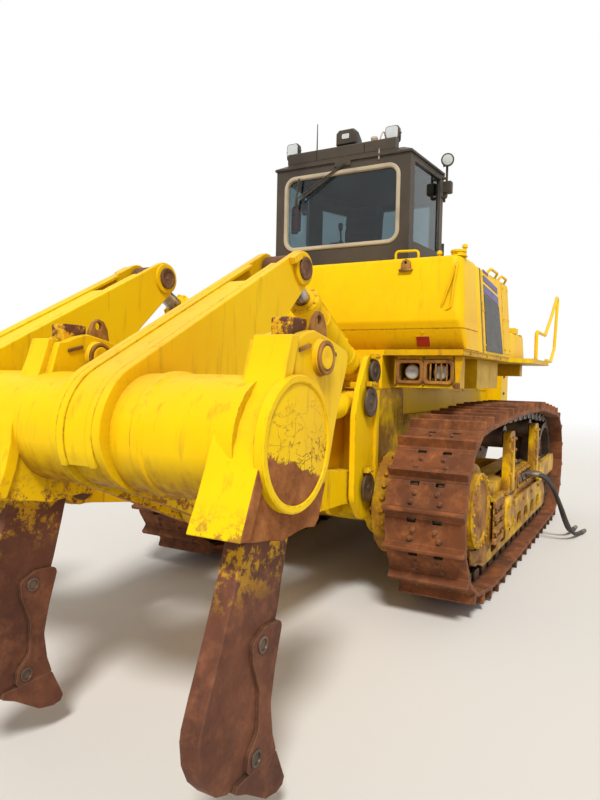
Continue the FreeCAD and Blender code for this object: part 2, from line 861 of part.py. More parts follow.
def wall_piece(face, ends, depth, side, z):
    """An upright slab in a side wall: distances from both corners, from the outer face and in height."""
    length = (face[1] - face[0]).Length
    corners = []
    for distance, outward in (
        (ends[0], -depth[0]),
        (length - ends[1], -depth[0]),
        (length - ends[1], -depth[1]),
        (ends[0], -depth[1]),
    ):
        spot = on_face(face, distance, outward)
        corners.append((spot.x, side * spot.y))
    return slab(tuple(corners), z)


cab_inside = slab(cab_plan(-WALL), (FLOOR_HIGH - 5, ROOF_LOW + 5))
cab_walls = cut(slab(cab_plan(0), (FLOOR_HIGH, ROOF_LOW)), cab_inside)
REAR_WINDOW = {"half": 585, "z": (FLOOR_HIGH + 150, ROOF_LOW - 95), "corner": 70}
FRONT_WINDOW = {"half": FRONT_HALF - 90, "z": (FLOOR_HIGH + 75, HEAD)}
SIDE_WINDOW = {"ends": (96, 80), "z": (FLOOR_HIGH + 155, HEAD)}
DOORWAY = {"ends": (75, 75), "z": (SILL, HEAD)}
DOOR_CLEAR = 6
DOOR_THICK = 40
DOOR_FRAME = 90
PANE_DEPTH = (20, 28)
THROUGH = (-20, WALL + 20)


def within(pair, clearance):
    return pair[0] + clearance, pair[1] - clearance


def grown(pair, clearance):
    return pair[0] + clearance, pair[1] + clearance


def rear_panel(x, clearance):
    """An upright slab with rounded corners in the cab's rear wall, the window's size less a clearance."""
    half = REAR_WINDOW["half"] - clearance
    low, high = within(REAR_WINDOW["z"], clearance)
    corner = REAR_WINDOW["corner"]
    outline = ((-half, low, corner), (half, low, corner), (half, high, corner), (-half, high, corner))
    return padded("YZ_Plane", [rounded(outline)], x[1] - x[0], Vector(x[0] - SHIFT, 0, 0))


cab_openings = [
    rear_panel((REAR_X - 20, REAR_X + WALL + 20), 0),
    block((FRONT_X - WALL - 20, FRONT_X + 20), (-FRONT_WINDOW["half"], FRONT_WINDOW["half"]), FRONT_WINDOW["z"]),
]
front_half = FRONT_WINDOW["half"] - SEAT
rear_depth = grown(PANE_DEPTH, REAR_X)
front_depth = (FRONT_X - PANE_DEPTH[1], FRONT_X - PANE_DEPTH[0])
panes = [
    rear_panel(rear_depth, SEAT),
    block(front_depth, (-front_half, front_half), within(FRONT_WINDOW["z"], SEAT)),
]
HINGE_OUT = 16
HINGE_RADIUS = 14
LEAF = 45
HINGE_HEIGHTS = (FLOOR_HIGH + 215, ROOF_LOW - 180)
KNUCKLE = 60
HINGE_ALONG = DOORWAY["ends"][0] + DOOR_CLEAR + 3
hinge_spot = on_face(DOOR_FACE, HINGE_ALONG, HINGE_OUT)
door_face_length = (DOOR_FACE[1] - DOOR_FACE[0]).Length
hinge_leaves = []
for side in (-1, 1):
    cab_openings.append(wall_piece(DOOR_FACE, DOORWAY["ends"], THROUGH, side, DOORWAY["z"]))
    cab_openings.append(wall_piece(REAR_FACE, SIDE_WINDOW["ends"], THROUGH, side, SIDE_WINDOW["z"]))
    pane_ends = grown(SIDE_WINDOW["ends"], SEAT)
    panes.append(wall_piece(REAR_FACE, pane_ends, PANE_DEPTH, side, within(SIDE_WINDOW["z"], SEAT)))
    for height in HINGE_HEIGHTS:
        axis = (hinge_spot.x, side * hinge_spot.y)
        low = height - KNUCKLE - SEAT
        high = height - SEAT
        hinge_leaves.append(post(HINGE_RADIUS, (*axis, low), (*axis, high)))
        leaf_ends = (HINGE_ALONG - LEAF, door_face_length - DOORWAY["ends"][0])
        hinge_leaves.append(wall_piece(DOOR_FACE, leaf_ends, (-HINGE_OUT, 0), side, (low, high)))
keep("cab_shell", join(cut(cab_walls, *cab_openings), *hinge_leaves))
keep("cab_glass", join(*panes))

for label, side in (("right", -1), ("left", 1)):
    door_ends = grown(DOORWAY["ends"], DOOR_CLEAR)
    frame_ends = grown(door_ends, DOOR_FRAME)
    door_height = within(DOORWAY["z"], DOOR_CLEAR)
    window_height = within(door_height, DOOR_FRAME)
    knuckles = []
    for height in HINGE_HEIGHTS:
        axis = (hinge_spot.x, side * hinge_spot.y)
        knuckles.append(post(HINGE_RADIUS, (*axis, height), (*axis, height + KNUCKLE)))
        leaf_ends = (HINGE_ALONG, door_face_length - HINGE_ALONG - LEAF)
        knuckles.append(wall_piece(DOOR_FACE, leaf_ends, (-HINGE_OUT, 0), side, (height, height + KNUCKLE)))
    door = join(wall_piece(DOOR_FACE, door_ends, (0, DOOR_THICK), side, door_height), *knuckles)
    keep("door_" + label, cut(door, wall_piece(DOOR_FACE, frame_ends, THROUGH, side, window_height)))
    glass_ends = grown(frame_ends, SEAT)
    glass = wall_piece(DOOR_FACE, glass_ends, PANE_DEPTH, side, within(window_height, SEAT))
    keep("door_glass_" + label, glass)

SEAT_FRONT = FLOOR_HIGH + 155
SEAT_BACK = FLOOR_HIGH + 0.75 * (ROOF_LOW - FLOOR_HIGH)
seat = join(
    block((1000, 1450), (-230, 230), (FLOOR_HIGH, SEAT_FRONT + 80)),
    plate(
        (
            (960, SEAT_FRONT, 0),
            (1080, SEAT_FRONT, 0),
            (1020, SEAT_BACK, 40),
            (900, SEAT_BACK, 40),
        ),
        (-230, 230),
    ),
)
keep("seat", seat)
console = join(
    block((1700, 1980), (-300, 300), (FLOOR_HIGH, FLOOR_HIGH + 305)),
    block((1050, 1600), (280, 420), (FLOOR_HIGH, FLOOR_HIGH + 335)),
)
keep("console", console)

ROOF_LAMPS = (
    # x, y, width, foot above the roof, height
    (520, 560, 110, 80, 90),
    (520, -460, 110, 80, 90),
    (530, 0, 220, 120, 140),
)
lamps = []
for x, y, width, foot, height in ROOF_LAMPS:
    lamp_foot = ROOF_HIGH + foot
    lamps.append(block((x, x + 120), (y - width / 2, y + width / 2), (lamp_foot, lamp_foot + height)))
    lamps.append(block((x + 30, x + 90), (y - 20, y + 20), (ROOF_HIGH, lamp_foot)))
lamps.append(post(8, (600, 360, ROOF_HIGH), (600, 360, ROOF_HIGH + 400)))

LAMP_POLE = (1140, 810)
pole_wall = REAR_HALF + (MIDDLE_HALF - REAR_HALF) * (LAMP_POLE[0] + 10 - REAR_X) / (MIDDLE_X - REAR_X) + SEAT
pole_arms = []
for height in (ROOF_LOW - 240, ROOF_LOW - 60):
    pole_arms.append(block((LAMP_POLE[0] - 10, LAMP_POLE[0] + 10), (pole_wall, LAMP_POLE[1]), (height, height + 20)))
side_lamps = join(
    *pole_arms,
    post(12, (*LAMP_POLE, ROOF_LOW - 260), (*LAMP_POLE, ROOF_LOW + 80)),
    block((1085, 1195), (750, 860), (ROOF_LOW + 75, ROOF_LOW + 175)),
    block((1120, 1190), (775, 865), (ROOF_LOW - 200, ROOF_LOW - 80)),
)
keep("cab_lamps", join(both(side_lamps), *lamps))

# Ripper bracket on the tractor's rear

ARM = size("arm_plane")
IN_LOW = ARM - size("plate_inside") - size("plate_thick")
IN_HIGH = ARM - size("plate_inside")
OUT_LOW = ARM + size("plate_inside")
OUT_HIGH = OUT_LOW + size("plate_thick")

LOWER_PIN = (-500, 980)
BEAM_PIN = (-2330, 1130)
LIFT_BASE = (-480, 1650)
LIFT_EYE = (-2000, 1420)
TILT_BASE = (-410, 1890)
TILT_EYE = (-1580, 2520)
TUBE = (-2930, 1570)

bracket_outline = (
    (HULL_REAR - 50, 730),
    (HULL_REAR - 50, HULL_HIGH_REAR + 10),
    (HULL_REAR + 50, HULL_HIGH_REAR + 10),
    (HULL_REAR + 50, 2000, 60),
    (-480, 2020, 90),
    (-630, 1760, 120),
    (-700, 1560, 150),
    (-700, 900, 120),
    (-550, 730, 80),
)
base_plate = block((HULL_REAR - 50, HULL_REAR), (-740, 740), (730, 1745))
bracket_parts = [base_plate]
for side in (-1, 1):
    for low, high in ((IN_LOW, IN_HIGH), (OUT_LOW, OUT_HIGH)):
        bracket_parts.append(plate(bracket_outline, (side * low, side * high)))
bores = []
for place in (LOWER_PIN, LIFT_BASE, TILT_BASE):
    bores.append(rod("sizes.pin_radius + sizes.pin_play", place, (-800, 800)))
keep("ripper_bracket", cut(join(*bracket_parts), *bores))

bracket_pins = []
for side in (-1, 1):
    for place in (LOWER_PIN, LIFT_BASE, TILT_BASE):
        bracket_pins.append(rod("sizes.pin_radius", place, (side * (IN_LOW - 15), side * (OUT_HIGH + 5))))
        head = (side * (OUT_HIGH + 5), side * (OUT_HIGH + 25))
        bracket_pins.append(rod("sizes.pin_radius + 28", place, head))
keep("bracket_pins", join(*bracket_pins))

# Lower arm

ARM_HALF = 90
BEAM_PIN_RADIUS = 60
BUSHING = 90
lower_parts = []
for side in (-1, 1):
    y = (side * (ARM - ARM_HALF), side * (ARM + ARM_HALF))
    lower_parts.append(link(LOWER_PIN, 125, BEAM_PIN, 120, y))
    lower_parts.append(link((-1500, 1060), 165, LOWER_PIN, 110, y))
    lower_parts.append(link((-1500, 1060), 165, BEAM_PIN, 110, y))
    for low in (-ARM_HALF, ARM_HALF - 30):
        ear = ((side * (ARM + low)), side * (ARM + low + 30))
        lower_parts.append(link(LIFT_EYE, 95, (-1960, 1120), 150, ear))
cross_box = block((-1800, -1300), (-(ARM - ARM_HALF), ARM - ARM_HALF), (920, 1200))
lower_bores = [
    rod("sizes.pin_radius + sizes.pin_play", LOWER_PIN, (-800, 800)),
    rod(BUSHING + size("pin_play"), BEAM_PIN, (-800, 800)),
]
lower_arm = cut(join(cross_box, *lower_parts), *lower_bores)
eye_pins = []
for side in (-1, 1):
    for low in (-ARM_HALF - 12, ARM_HALF):
        eye_pins.append(rod("sizes.pin_radius + 15", LIFT_EYE, (side * (ARM + low), side * (ARM + low + 12))))
keep("lower_arm", join(lower_arm, *eye_pins))

link_pins = []
for side in (-1, 1):
    link_pins.append(rod(BUSHING, BEAM_PIN, (side * (ARM - ARM_HALF), side * (ARM + ARM_HALF))))
    link_pins.append(rod(BEAM_PIN_RADIUS, BEAM_PIN, (side * (IN_LOW - 15), side * (OUT_HIGH + 5))))
    link_pins.append(rod(110, BEAM_PIN, (side * (OUT_HIGH + 5), side * (OUT_HIGH + 35))))
keep("beam_pins", join(*link_pins))

# Ripper beam

spacing = size("shank_spacing")
holder_half = size("holder_half")
HOLDER = (
    (-3050, 1990, 30),
    (-2830, 2030, 60),
    (-2550, 1960, 50),
    (-2600, 1720, 60),
    (-2610, 1400, 60),
    (-2720, 1240, 50),
    (-3240, 1270, 20),
)
SHANK_TOP = 2080
SHANK_STEP = 1900
SHANK_NECK = 1240
SHANK_SHOULDER = 1990
SHANK_HEAD = (-2870, -2720)
FRONT_LEAN = (-2650, -2830)
REAR_LEAN = (-2990, -3165)
beam_parts = [rod("sizes.tube_radius", TUBE, (-spacing, spacing))]
for y in (-spacing, 0, spacing):
    beam_parts.append(plate(HOLDER, (y - holder_half, y + holder_half)))
    beam_parts.append(rod(72, (-2710, 1925), (y - holder_half - 30, y + holder_half + 30)))
for side in (-1, 1):
    beam_parts.append(rod(262, TUBE, (side * (spacing + holder_half), side * (spacing + holder_half + 35))))
    for low, high in ((IN_LOW, IN_HIGH), (OUT_LOW, OUT_HIGH)):
        beam_parts.append(link(TUBE, 330, TILT_EYE, 115, (side * low, side * high)))
        beam_parts.append(link(TUBE, 330, BEAM_PIN, 115, (side * low, side * high)))
POCKET = (1140, 2100)


def lean_at(lean, z):
    """Where a straight edge between the shank's neck and shoulder lies at a height."""
    share = (z - SHANK_NECK) / (SHANK_SHOULDER - SHANK_NECK)
    return lean[1] + (lean[0] - lean[1]) * share


pocket_step = SHANK_STEP + SEAT
pocket_outline = (
    (SHANK_HEAD[1] + SEAT, POCKET[1]),
    (SHANK_HEAD[1] + SEAT, pocket_step),
    (lean_at(FRONT_LEAN, pocket_step) + SEAT, pocket_step),
    (lean_at(FRONT_LEAN, POCKET[0]) + SEAT, POCKET[0]),
    (lean_at(REAR_LEAN, POCKET[0]) - SEAT, POCKET[0]),
    (lean_at(REAR_LEAN, pocket_step) - SEAT, pocket_step),
    (SHANK_HEAD[0] - SEAT, pocket_step),
    (SHANK_HEAD[0] - SEAT, POCKET[1]),
)
pockets = []
pocket_half = size("shank_thick") / 2 + SEAT
for y in (-spacing, 0, spacing):
    pockets.append(plate(pocket_outline, (y - pocket_half, y + pocket_half)))
pockets.append(rod(BEAM_PIN_RADIUS + size("pin_play"), BEAM_PIN, (-800, 800)))
ripper_beam = cut(join(*beam_parts), *pockets)

tilt_pins = []
for side in (-1, 1):
    tilt_pins.append(rod("sizes.pin_radius + 15", TILT_EYE, (side * (IN_LOW - 12), side * IN_LOW)))
    tilt_pins.append(rod(90, TILT_EYE, (side * OUT_HIGH, side * (OUT_HIGH + 25))))
keep("ripper_beam", join(ripper_beam, *tilt_pins))

# Shanks with their nose guards and teeth

SHANK = (
    (SHANK_HEAD[1], SHANK_TOP, 20),
    (SHANK_HEAD[1], SHANK_STEP),
    (lean_at(FRONT_LEAN, SHANK_STEP), SHANK_STEP),
    (FRONT_LEAN[1], SHANK_NECK),
    (-2920, 870, 200),
    (-3025, 570, 150),
    (-3020, 420, 60),
    (-3085, 310, 20),
    (-3270, 300, 60),
    (-3395, 420, 80),
    (-3425, 590, 60),
    (REAR_LEAN[1], SHANK_NECK),
    (lean_at(REAR_LEAN, SHANK_STEP), SHANK_STEP),
    (SHANK_HEAD[0], SHANK_STEP),
    (SHANK_HEAD[0], SHANK_TOP, 20),
)
NOSE_FOOT = 317
NOSE = (
    (-2905, 850, 30),
    (-2960, 670, 100),
    (-2990, 530, 120),
    (-2970, 400, 60),
    (-2940, NOSE_FOOT, 10),
    (-3150, NOSE_FOOT, 20),
    (-3140, 395, 50),
    (-3075, 455, 50),
    (-3070, 610, 60),
    (-3120, 740, 50),
    (-3130, 820, 40),
    (-3040, 860, 40),
)
TOOTH = (
    (-2940, NOSE_FOOT - SEAT, 10),
    (-2870, 170, 10),
    (-2885, 143, 10),
    (-2930, 137, 20),
    (-3015, 157, 30),
    (-3155, 255, 40),
    (-3225, 290, 10),
    (-3215, NOSE_FOOT - SEAT, 5),
)
NOSE_HALF = 62


def sideways(label, outline, half, takes_away=None):
    """Three like pieces across the beam, one on each shank."""
    pieces = []
    for y in (-spacing, 0, spacing):
        pieces.append(plate(outline, (y - half, y + half)))
    solid = join(*pieces)
    if takes_away is not None:
        solid = cut(solid, takes_away)
    return keep(label, solid)


shanks = sideways("shanks", SHANK, size("shank_thick") / 2)
sideways("shank_nose_guards", NOSE, NOSE_HALF, shanks)
sideways("ripper_teeth", TOOTH, NOSE_HALF, shanks)

# Lift and tilt cylinders

CYLINDERS = (
    # Name, base pin, eye, barrel radius and length, rod radius and inner end, eye half width and radius.
    ("lift", LIFT_BASE, LIFT_EYE, 84, 1020, 48, 510, 52, 80),
    ("tilt", TILT_BASE, TILT_EYE, 92, 1000, 55, 380, 95, 88),
)
LUG_HALF = 95
LUG_RADIUS = 84


def cylinder(name, base, eye, barrel_radius, length, rod_radius, inner_end, eye_half, eye_radius, side):
    reach = math.dist(base, eye)
    way = ((eye[0] - base[0]) / reach, (eye[1] - base[1]) / reach)
    middle = side * ARM

    def along(distance):
        return (base[0] + way[0] * distance, middle, base[1] + way[1] * distance)

    barrel = cut(
        join(
            post(barrel_radius, along(120), along(length)),
            post(barrel_radius + 9, along(length - 70), along(length - 10)),
            rod(LUG_RADIUS, base, (middle - LUG_HALF, middle + LUG_HALF)),
            post(barrel_radius - 20, along(0), along(130)),
        ),
        rod("sizes.pin_radius + sizes.pin_play", base, (middle - 120, middle + 120)),
        post(rod_radius + size("pin_play"), along(160), along(length + 5)),
    )
    bar = cut(
        join(
            post(rod_radius, along(inner_end), along(reach - 30)),
            rod(eye_radius, eye, (middle - eye_half, middle + eye_half)),
        ),
        rod("sizes.pin_radius", eye, (middle - 120, middle + 120)),
    )
    return barrel, bar


for row in CYLINDERS:
    for label, side in (("right", -1), ("left", 1)):
        barrel, bar = cylinder(*row, side)
        keep(row[0] + "_barrel_" + label, barrel)
        keep(row[0] + "_rod_" + label, bar)

# Two loose hoses of the missing blade's tilt cylinder

HOSE_RADIUS = 22
FITTING_END = 1500
HOSE_START = FITTING_END + SEAT
HOSES = (
    (
        (2380, -HOSE_START, 800),
        (2380, -1640, 800),
        (2450, -1740, 640),
        (2560, -1810, 430),
        (2700, -1860, 230),
        (2880, -1900, 90),
        (3080, -1930, 32),
        (3280, -1975, 32),
    ),
    (
        (2560, -HOSE_START, 790),
        (2560, -1620, 790),
        (2640, -1700, 640),
        (2740, -1760, 450),
        (2870, -1800, 250),
        (3030, -1830, 100),
        (3220, -1850, 32),
        (3420, -1870, 32),
    ),
)
BEND_SHARE = 0.45


def hose_bend(spots, index):
    """An arc as large as the two runs at a point allow."""
    back = spots[index - 1] - spots[index]
    ahead = spots[index + 1] - spots[index]
    turn = math.pi - back.getAngle(ahead)
    shorter = min(back.Length, ahead.Length)
    return BEND_SHARE * shorter / math.tan(turn / 2)


couplings = []
fittings = []
for number, route in enumerate(HOSES, start=1):
    hose = tube_path(route, HOSE_RADIUS, hose_bend)
    keep("hose_%d" % number, made("hose_%d" % number, hose))
    end = Vector(*route[-1])
    way = (end - Vector(*route[-2])).normalize()
    tip = end + way * 90
    couplings.append(post(24, route[-1], tuple(tip)))
    fittings.append(rod(32, (route[0][0], route[0][2]), (-FITTING_END, -1420)))
keep("hose_couplings", join(*couplings))
keep("hose_fittings", join(*fittings))

# Check every object, then write one file for each sub-part

doc.recompute()
for item in doc.Objects:
    if "Invalid" in item.State or "Error" in item.State:
        raise RuntimeError("%s (%s) did not compute" % (item.Name, item.Label))
os.makedirs("parts", exist_ok=True)
for piece in NODES:
    shape = piece.Shape
    if shape.isNull() or not shape.isValid() or not shape.Solids:
        raise RuntimeError("%s has no valid solid" % piece.Label)
    shape.exportStep("parts/%s.step" % piece.Label)
whole = Part.makeCompound([piece.Shape for piece in NODES])
print("nodes", len(NODES), "box", whole.BoundBox)
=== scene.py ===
import math
import random

import bmesh
import bpy
from mathutils import Matrix, Vector
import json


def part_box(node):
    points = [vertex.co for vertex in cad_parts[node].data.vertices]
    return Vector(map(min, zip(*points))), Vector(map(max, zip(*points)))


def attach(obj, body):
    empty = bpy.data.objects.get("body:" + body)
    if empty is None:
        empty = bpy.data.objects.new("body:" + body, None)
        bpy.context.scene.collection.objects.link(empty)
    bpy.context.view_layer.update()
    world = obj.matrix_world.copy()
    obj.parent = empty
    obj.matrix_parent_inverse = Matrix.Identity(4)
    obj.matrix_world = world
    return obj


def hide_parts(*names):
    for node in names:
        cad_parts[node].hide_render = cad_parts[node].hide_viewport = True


# Looks of a large crawler tractor with a three shank ripper.
# Places are given as in the part's source: millimetres from the sprocket's centre line.

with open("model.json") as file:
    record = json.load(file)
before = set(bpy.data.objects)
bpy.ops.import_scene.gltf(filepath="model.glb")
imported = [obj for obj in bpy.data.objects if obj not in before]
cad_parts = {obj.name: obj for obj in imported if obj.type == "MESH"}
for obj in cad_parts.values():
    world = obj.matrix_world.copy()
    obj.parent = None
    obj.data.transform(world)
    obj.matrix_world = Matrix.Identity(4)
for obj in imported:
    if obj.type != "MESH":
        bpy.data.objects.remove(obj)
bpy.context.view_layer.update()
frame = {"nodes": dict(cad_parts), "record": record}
nodes = frame["nodes"]
OFFSET = 0.66207
random.seed(7)


def at(x, y, z):
    """A place in the row's frame, in metres."""
    return Vector((x / 1000 - OFFSET, y / 1000, z / 1000))


# Materials

class Paint:
    """A node material whose pattern follows the piece itself."""

    def __init__(self, name, **fixed):
        self.material = bpy.data.materials.new(name)
        self.material.use_nodes = True
        self.tree = self.material.node_tree
        self.tree.nodes.clear()
        self.out = self.tree.nodes.new("ShaderNodeOutputMaterial")
        self.shader = self.tree.nodes.new("ShaderNodeBsdfPrincipled")
        self.tree.links.new(self.shader.outputs[0], self.out.inputs[0])
        self.place = self.node("ShaderNodeTexCoord").outputs["Object"]
        for key, value in fixed.items():
            self.shader.inputs[key.replace("_", " ")].default_value = value

    def node(self, kind, inputs=None, **props):
        made = self.tree.nodes.new(kind)
        for key, value in props.items():
            setattr(made, key, value)
        for key, value in (inputs or {}).items():
            if isinstance(value, bpy.types.NodeSocket):
                self.tree.links.new(value, made.inputs[key])
            else:
                made.inputs[key].default_value = value
        return made

    def stretched(self, scale):
        return self.node("ShaderNodeMapping", {"Vector": self.place, "Scale": scale}).outputs[0]

    def noise(self, scale, detail=4.0, rough=0.55, stretch=None):
        place = self.stretched(stretch) if stretch else self.place
        inputs = {"Vector": place, "Scale": scale, "Detail": detail, "Roughness": rough}
        return self.node("ShaderNodeTexNoise", inputs).outputs["Fac"]

    def cells(self, scale, kind="F1"):
        return self.node("ShaderNodeTexVoronoi", {"Vector": self.place, "Scale": scale}, feature=kind).outputs[0]

    def band(self, value, low, high, to_low=0.0, to_high=1.0):
        inputs = {0: value, 1: low, 2: high, 3: to_low, 4: to_high}
        return self.node("ShaderNodeMapRange", inputs, clamp=True).outputs[0]

    def maths(self, operation, first, second=0.0):
        return self.node("ShaderNodeMath", {0: first, 1: second}, operation=operation, use_clamp=True).outputs[0]

    def mix(self, share, first, second):
        inputs = {0: share, 6: first, 7: second}
        return self.node("ShaderNodeMix", inputs, data_type="RGBA").outputs[2]

    def axis(self, index):
        """One of the place's coordinates on the piece."""
        return self.node("ShaderNodeSeparateXYZ", {0: self.place}).outputs[index]

    def facing(self, index):
        normal = self.node("ShaderNodeNewGeometry").outputs["Normal"]
        return self.node("ShaderNodeSeparateXYZ", {0: normal}).outputs[index]

    def occlusion_shade(self, distance, low=0.35, high=0.85):
        """1 in corners and gaps, 0 in the open: an ambient occlusion mask, used to paint shade into the colour."""
        shade = self.node("ShaderNodeAmbientOcclusion", {"Distance": distance}, samples=6).outputs["AO"]
        return self.band(shade, low, high, 1.0, 0.0)

    def edges(self, radius):
        """1 on edges, 0 on open faces."""
        soft = self.node("ShaderNodeBevel", {"Radius": radius}, samples=6).outputs[0]
        normal = self.node("ShaderNodeNewGeometry").outputs["Normal"]
        same = self.node("ShaderNodeVectorMath", {0: soft, 1: normal}, operation="DOT_PRODUCT").outputs["Value"]
        return self.band(same, 0.9, 0.995, 1.0, 0.0)

    def relief(self, height, distance, strength=1.0, round_radius=0.0):
        inputs = {"Height": height, "Distance": distance, "Strength": strength}
        if round_radius:
            inputs["Normal"] = self.node("ShaderNodeBevel", {"Radius": round_radius}, samples=4).outputs[0]
        bump = self.node("ShaderNodeBump", inputs)
        self.tree.links.new(bump.outputs[0], self.shader.inputs["Normal"])

    def colour(self, value):
        self.tree.links.new(value, self.shader.inputs["Base Color"])

    def rough(self, value):
        self.tree.links.new(value, self.shader.inputs["Roughness"])


def rgb(red, green, blue):
    return (red, green, blue, 1.0)


YELLOW = rgb(0.94, 0.62, 0.003)
YELLOW_DEEP = rgb(0.90, 0.50, 0.003)
YELLOW_PALE = rgb(0.95, 0.67, 0.010)
RUST_DARK = rgb(0.10, 0.035, 0.015)
RUST_MID = rgb(0.24, 0.080, 0.026)
RUST_LIGHT = rgb(0.42, 0.165, 0.055)
GRIME_AND_SHADE = rgb(0.050, 0.027, 0.012)
DUST = rgb(0.46, 0.33, 0.19)
STEEL = rgb(0.26, 0.22, 0.18)
DARK_BROWN = rgb(0.23, 0.085, 0.018)
CORNER_DIRT_AND_SHADE = rgb(0.10, 0.038, 0.010)


def yellow_paint(name, dirt_and_shade=0.4, rust=0.25, patch=None, under=0.0, soil=0.0):
    """Machine paint with dust, grime and painted shade in corners, chips along edges and rust streaks."""
    paint = Paint(name, Specular_IOR_Level=0.09)
    broad = paint.noise(0.9, 5.0)
    fine = paint.noise(38.0, 6.0, 0.65)
    streak = paint.noise(3.2, 6.0, 0.6, (6.0, 6.0, 0.7))
    base = paint.mix(paint.band(broad, 0.35, 0.7), YELLOW, YELLOW_DEEP)
    base = paint.mix(paint.band(paint.noise(5.5, 4.0), 0.5, 0.8, 0.0, 0.35), base, YELLOW_PALE)
    dusty = paint.maths("MULTIPLY", paint.band(paint.facing(2), 0.2, 0.95), paint.band(broad, 0.4, 0.65, 0.05, 0.4))
    base = paint.mix(paint.maths("MULTIPLY", dusty, dirt_and_shade), base, DUST)
    stains = paint.maths("MULTIPLY", paint.band(streak, 0.56, 0.74), rust)
    base = paint.mix(stains, base, RUST_MID)
    # Painted shade with grime: the ambient occlusion mask darkens corners and gaps towards a dark brown.
    corner = paint.maths("MULTIPLY", paint.occlusion_shade(0.14), paint.band(fine, 0.2, 0.7, 0.35, 1.0))
    base = paint.mix(paint.maths("MULTIPLY", corner, dirt_and_shade), base, CORNER_DIRT_AND_SHADE)
    if soil:
        spread = paint.maths("MULTIPLY", paint.band(paint.noise(2.8, 8.0, 0.66), 0.34, 0.56), soil)
        base = paint.mix(spread, base, DARK_BROWN)
    # Faces that turn downward go darker brown in streaks, weighted by the under share.
    if under:
        downward_darkening = paint.maths("MULTIPLY", paint.band(paint.facing(2), -0.85, -0.2, 1.0, 0.0), paint.band(streak, 0.3, 0.6, 0.55, 1.0))
        base = paint.mix(paint.maths("MULTIPLY", downward_darkening, under), base, DARK_BROWN)
    edge = paint.edges(0.007)
    chips = paint.maths("MULTIPLY", edge, paint.band(paint.noise(16.0, 5.0, 0.7), 0.5, 0.62))
    spots = paint.maths("MULTIPLY", paint.band(paint.noise(24.0, 8.0, 0.75), 0.665, 0.69), rust)
    worn = paint.maths("MAXIMUM", chips, spots)
    if patch:
        worn = paint.maths("MAXIMUM", worn, patch(paint))
    bare = paint.mix(paint.band(paint.noise(9.0, 8.0, 0.75), 0.38, 0.64), RUST_MID, RUST_LIGHT)
    bare = paint.mix(paint.band(paint.noise(4.0, 8.0, 0.7), 0.45, 0.70, 0.0, 0.7), bare, RUST_DARK)
    paint.colour(paint.mix(worn, base, bare))
    dull = paint.maths("MAXIMUM", worn, paint.maths("MAXIMUM", corner, stains))
    paint.rough(paint.maths("ADD", paint.band(fine, 0.2, 0.8, 0.34, 0.48), paint.maths("MULTIPLY", dull, 0.4)))
    height = paint.mix(worn, paint.band(fine, 0.0, 1.0, 0.55, 0.65), paint.band(fine, 0.0, 1.0, 0.0, 0.45))
    paint.relief(height, 0.0012, 0.6, 0.006)
    return paint.material


def rusty(name, dark=RUST_DARK, middle=RUST_MID, light=RUST_LIGHT, polish=0.3, relief=0.002, flecks=None):
    """Bare rusted steel with dark scale, bright powder and rubbed edges."""
    paint = Paint(name, Specular_IOR_Level=0.35, Metallic=0.15)
    broad = paint.noise(2.4, 6.0, 0.6)
    fine = paint.noise(30.0, 8.0, 0.7)
    base = paint.mix(paint.band(broad, 0.36, 0.62), dark, middle)
    powder = paint.maths("MULTIPLY", paint.band(paint.noise(7.0, 7.0, 0.65), 0.45, 0.66), paint.band(fine, 0.3, 0.6))
    base = paint.mix(powder, base, light)
    # Painted shade with grime: the ambient occlusion mask darkens hollows and gaps.
    base = paint.mix(paint.maths("MULTIPLY", paint.occlusion_shade(0.10), 0.75), base, GRIME_AND_SHADE)
    edge = paint.maths("MULTIPLY", paint.edges(0.008), paint.band(fine, 0.3, 0.62, 0.1, 0.8))
    base = paint.mix(paint.maths("MULTIPLY", edge, polish), base, rgb(0.50, 0.33, 0.22))
    if flecks:
        base = paint.mix(flecks(paint), base, YELLOW_DEEP)
    paint.colour(base)
    paint.rough(paint.band(fine, 0.25, 0.75, 0.62, 0.92))
    paint.relief(paint.mix(0.4, fine, broad), relief, 0.8, 0.006)
    return paint.material


def worn_steel(name, tone=STEEL, shine=0.42, metal=0.7):
    paint = Paint(name, Metallic=metal, Specular_IOR_Level=0.5)
    fine = paint.noise(26.0, 7.0, 0.7)
    broad = paint.noise(5.0, 5.0)
    base = paint.mix(paint.band(broad, 0.4, 0.62), tone, rgb(0.16, 0.10, 0.065))
    # Painted shade with grime: the ambient occlusion mask darkens hollows and gaps.
    base = paint.mix(paint.maths("MULTIPLY", paint.occlusion_shade(0.08), 0.85), base, GRIME_AND_SHADE)
    paint.colour(base)
    paint.rough(paint.band(fine, 0.2, 0.8, shine, shine + 0.3))
    paint.relief(fine, 0.0008, 0.6, 0.004)
    return paint.material


def charcoal(name):
    paint = Paint(name, Specular_IOR_Level=0.28)
    broad = paint.noise(1.6, 5.0)
    fine = paint.noise(60.0, 4.0)
    base = paint.mix(paint.band(broad, 0.35, 0.7), rgb(0.042, 0.033, 0.024), rgb(0.085, 0.064, 0.044))
    lift = paint.maths("MULTIPLY", paint.band(paint.facing(2), 0.3, 1.0), paint.band(broad, 0.4, 0.7, 0.1, 0.5))
    base = paint.mix(lift, base, rgb(0.17, 0.15, 0.125))
    edge = paint.maths("MULTIPLY", paint.edges(0.006), paint.band(paint.noise(14.0, 6.0), 0.45, 0.6))
    base = paint.mix(paint.maths("MULTIPLY", edge, 0.6), base, rgb(0.16, 0.13, 0.11))
    paint.colour(base)
    paint.rough(paint.band(fine, 0.2, 0.8, 0.38, 0.55))
    paint.relief(fine, 0.0005, 0.4, 0.008)
    return paint.material


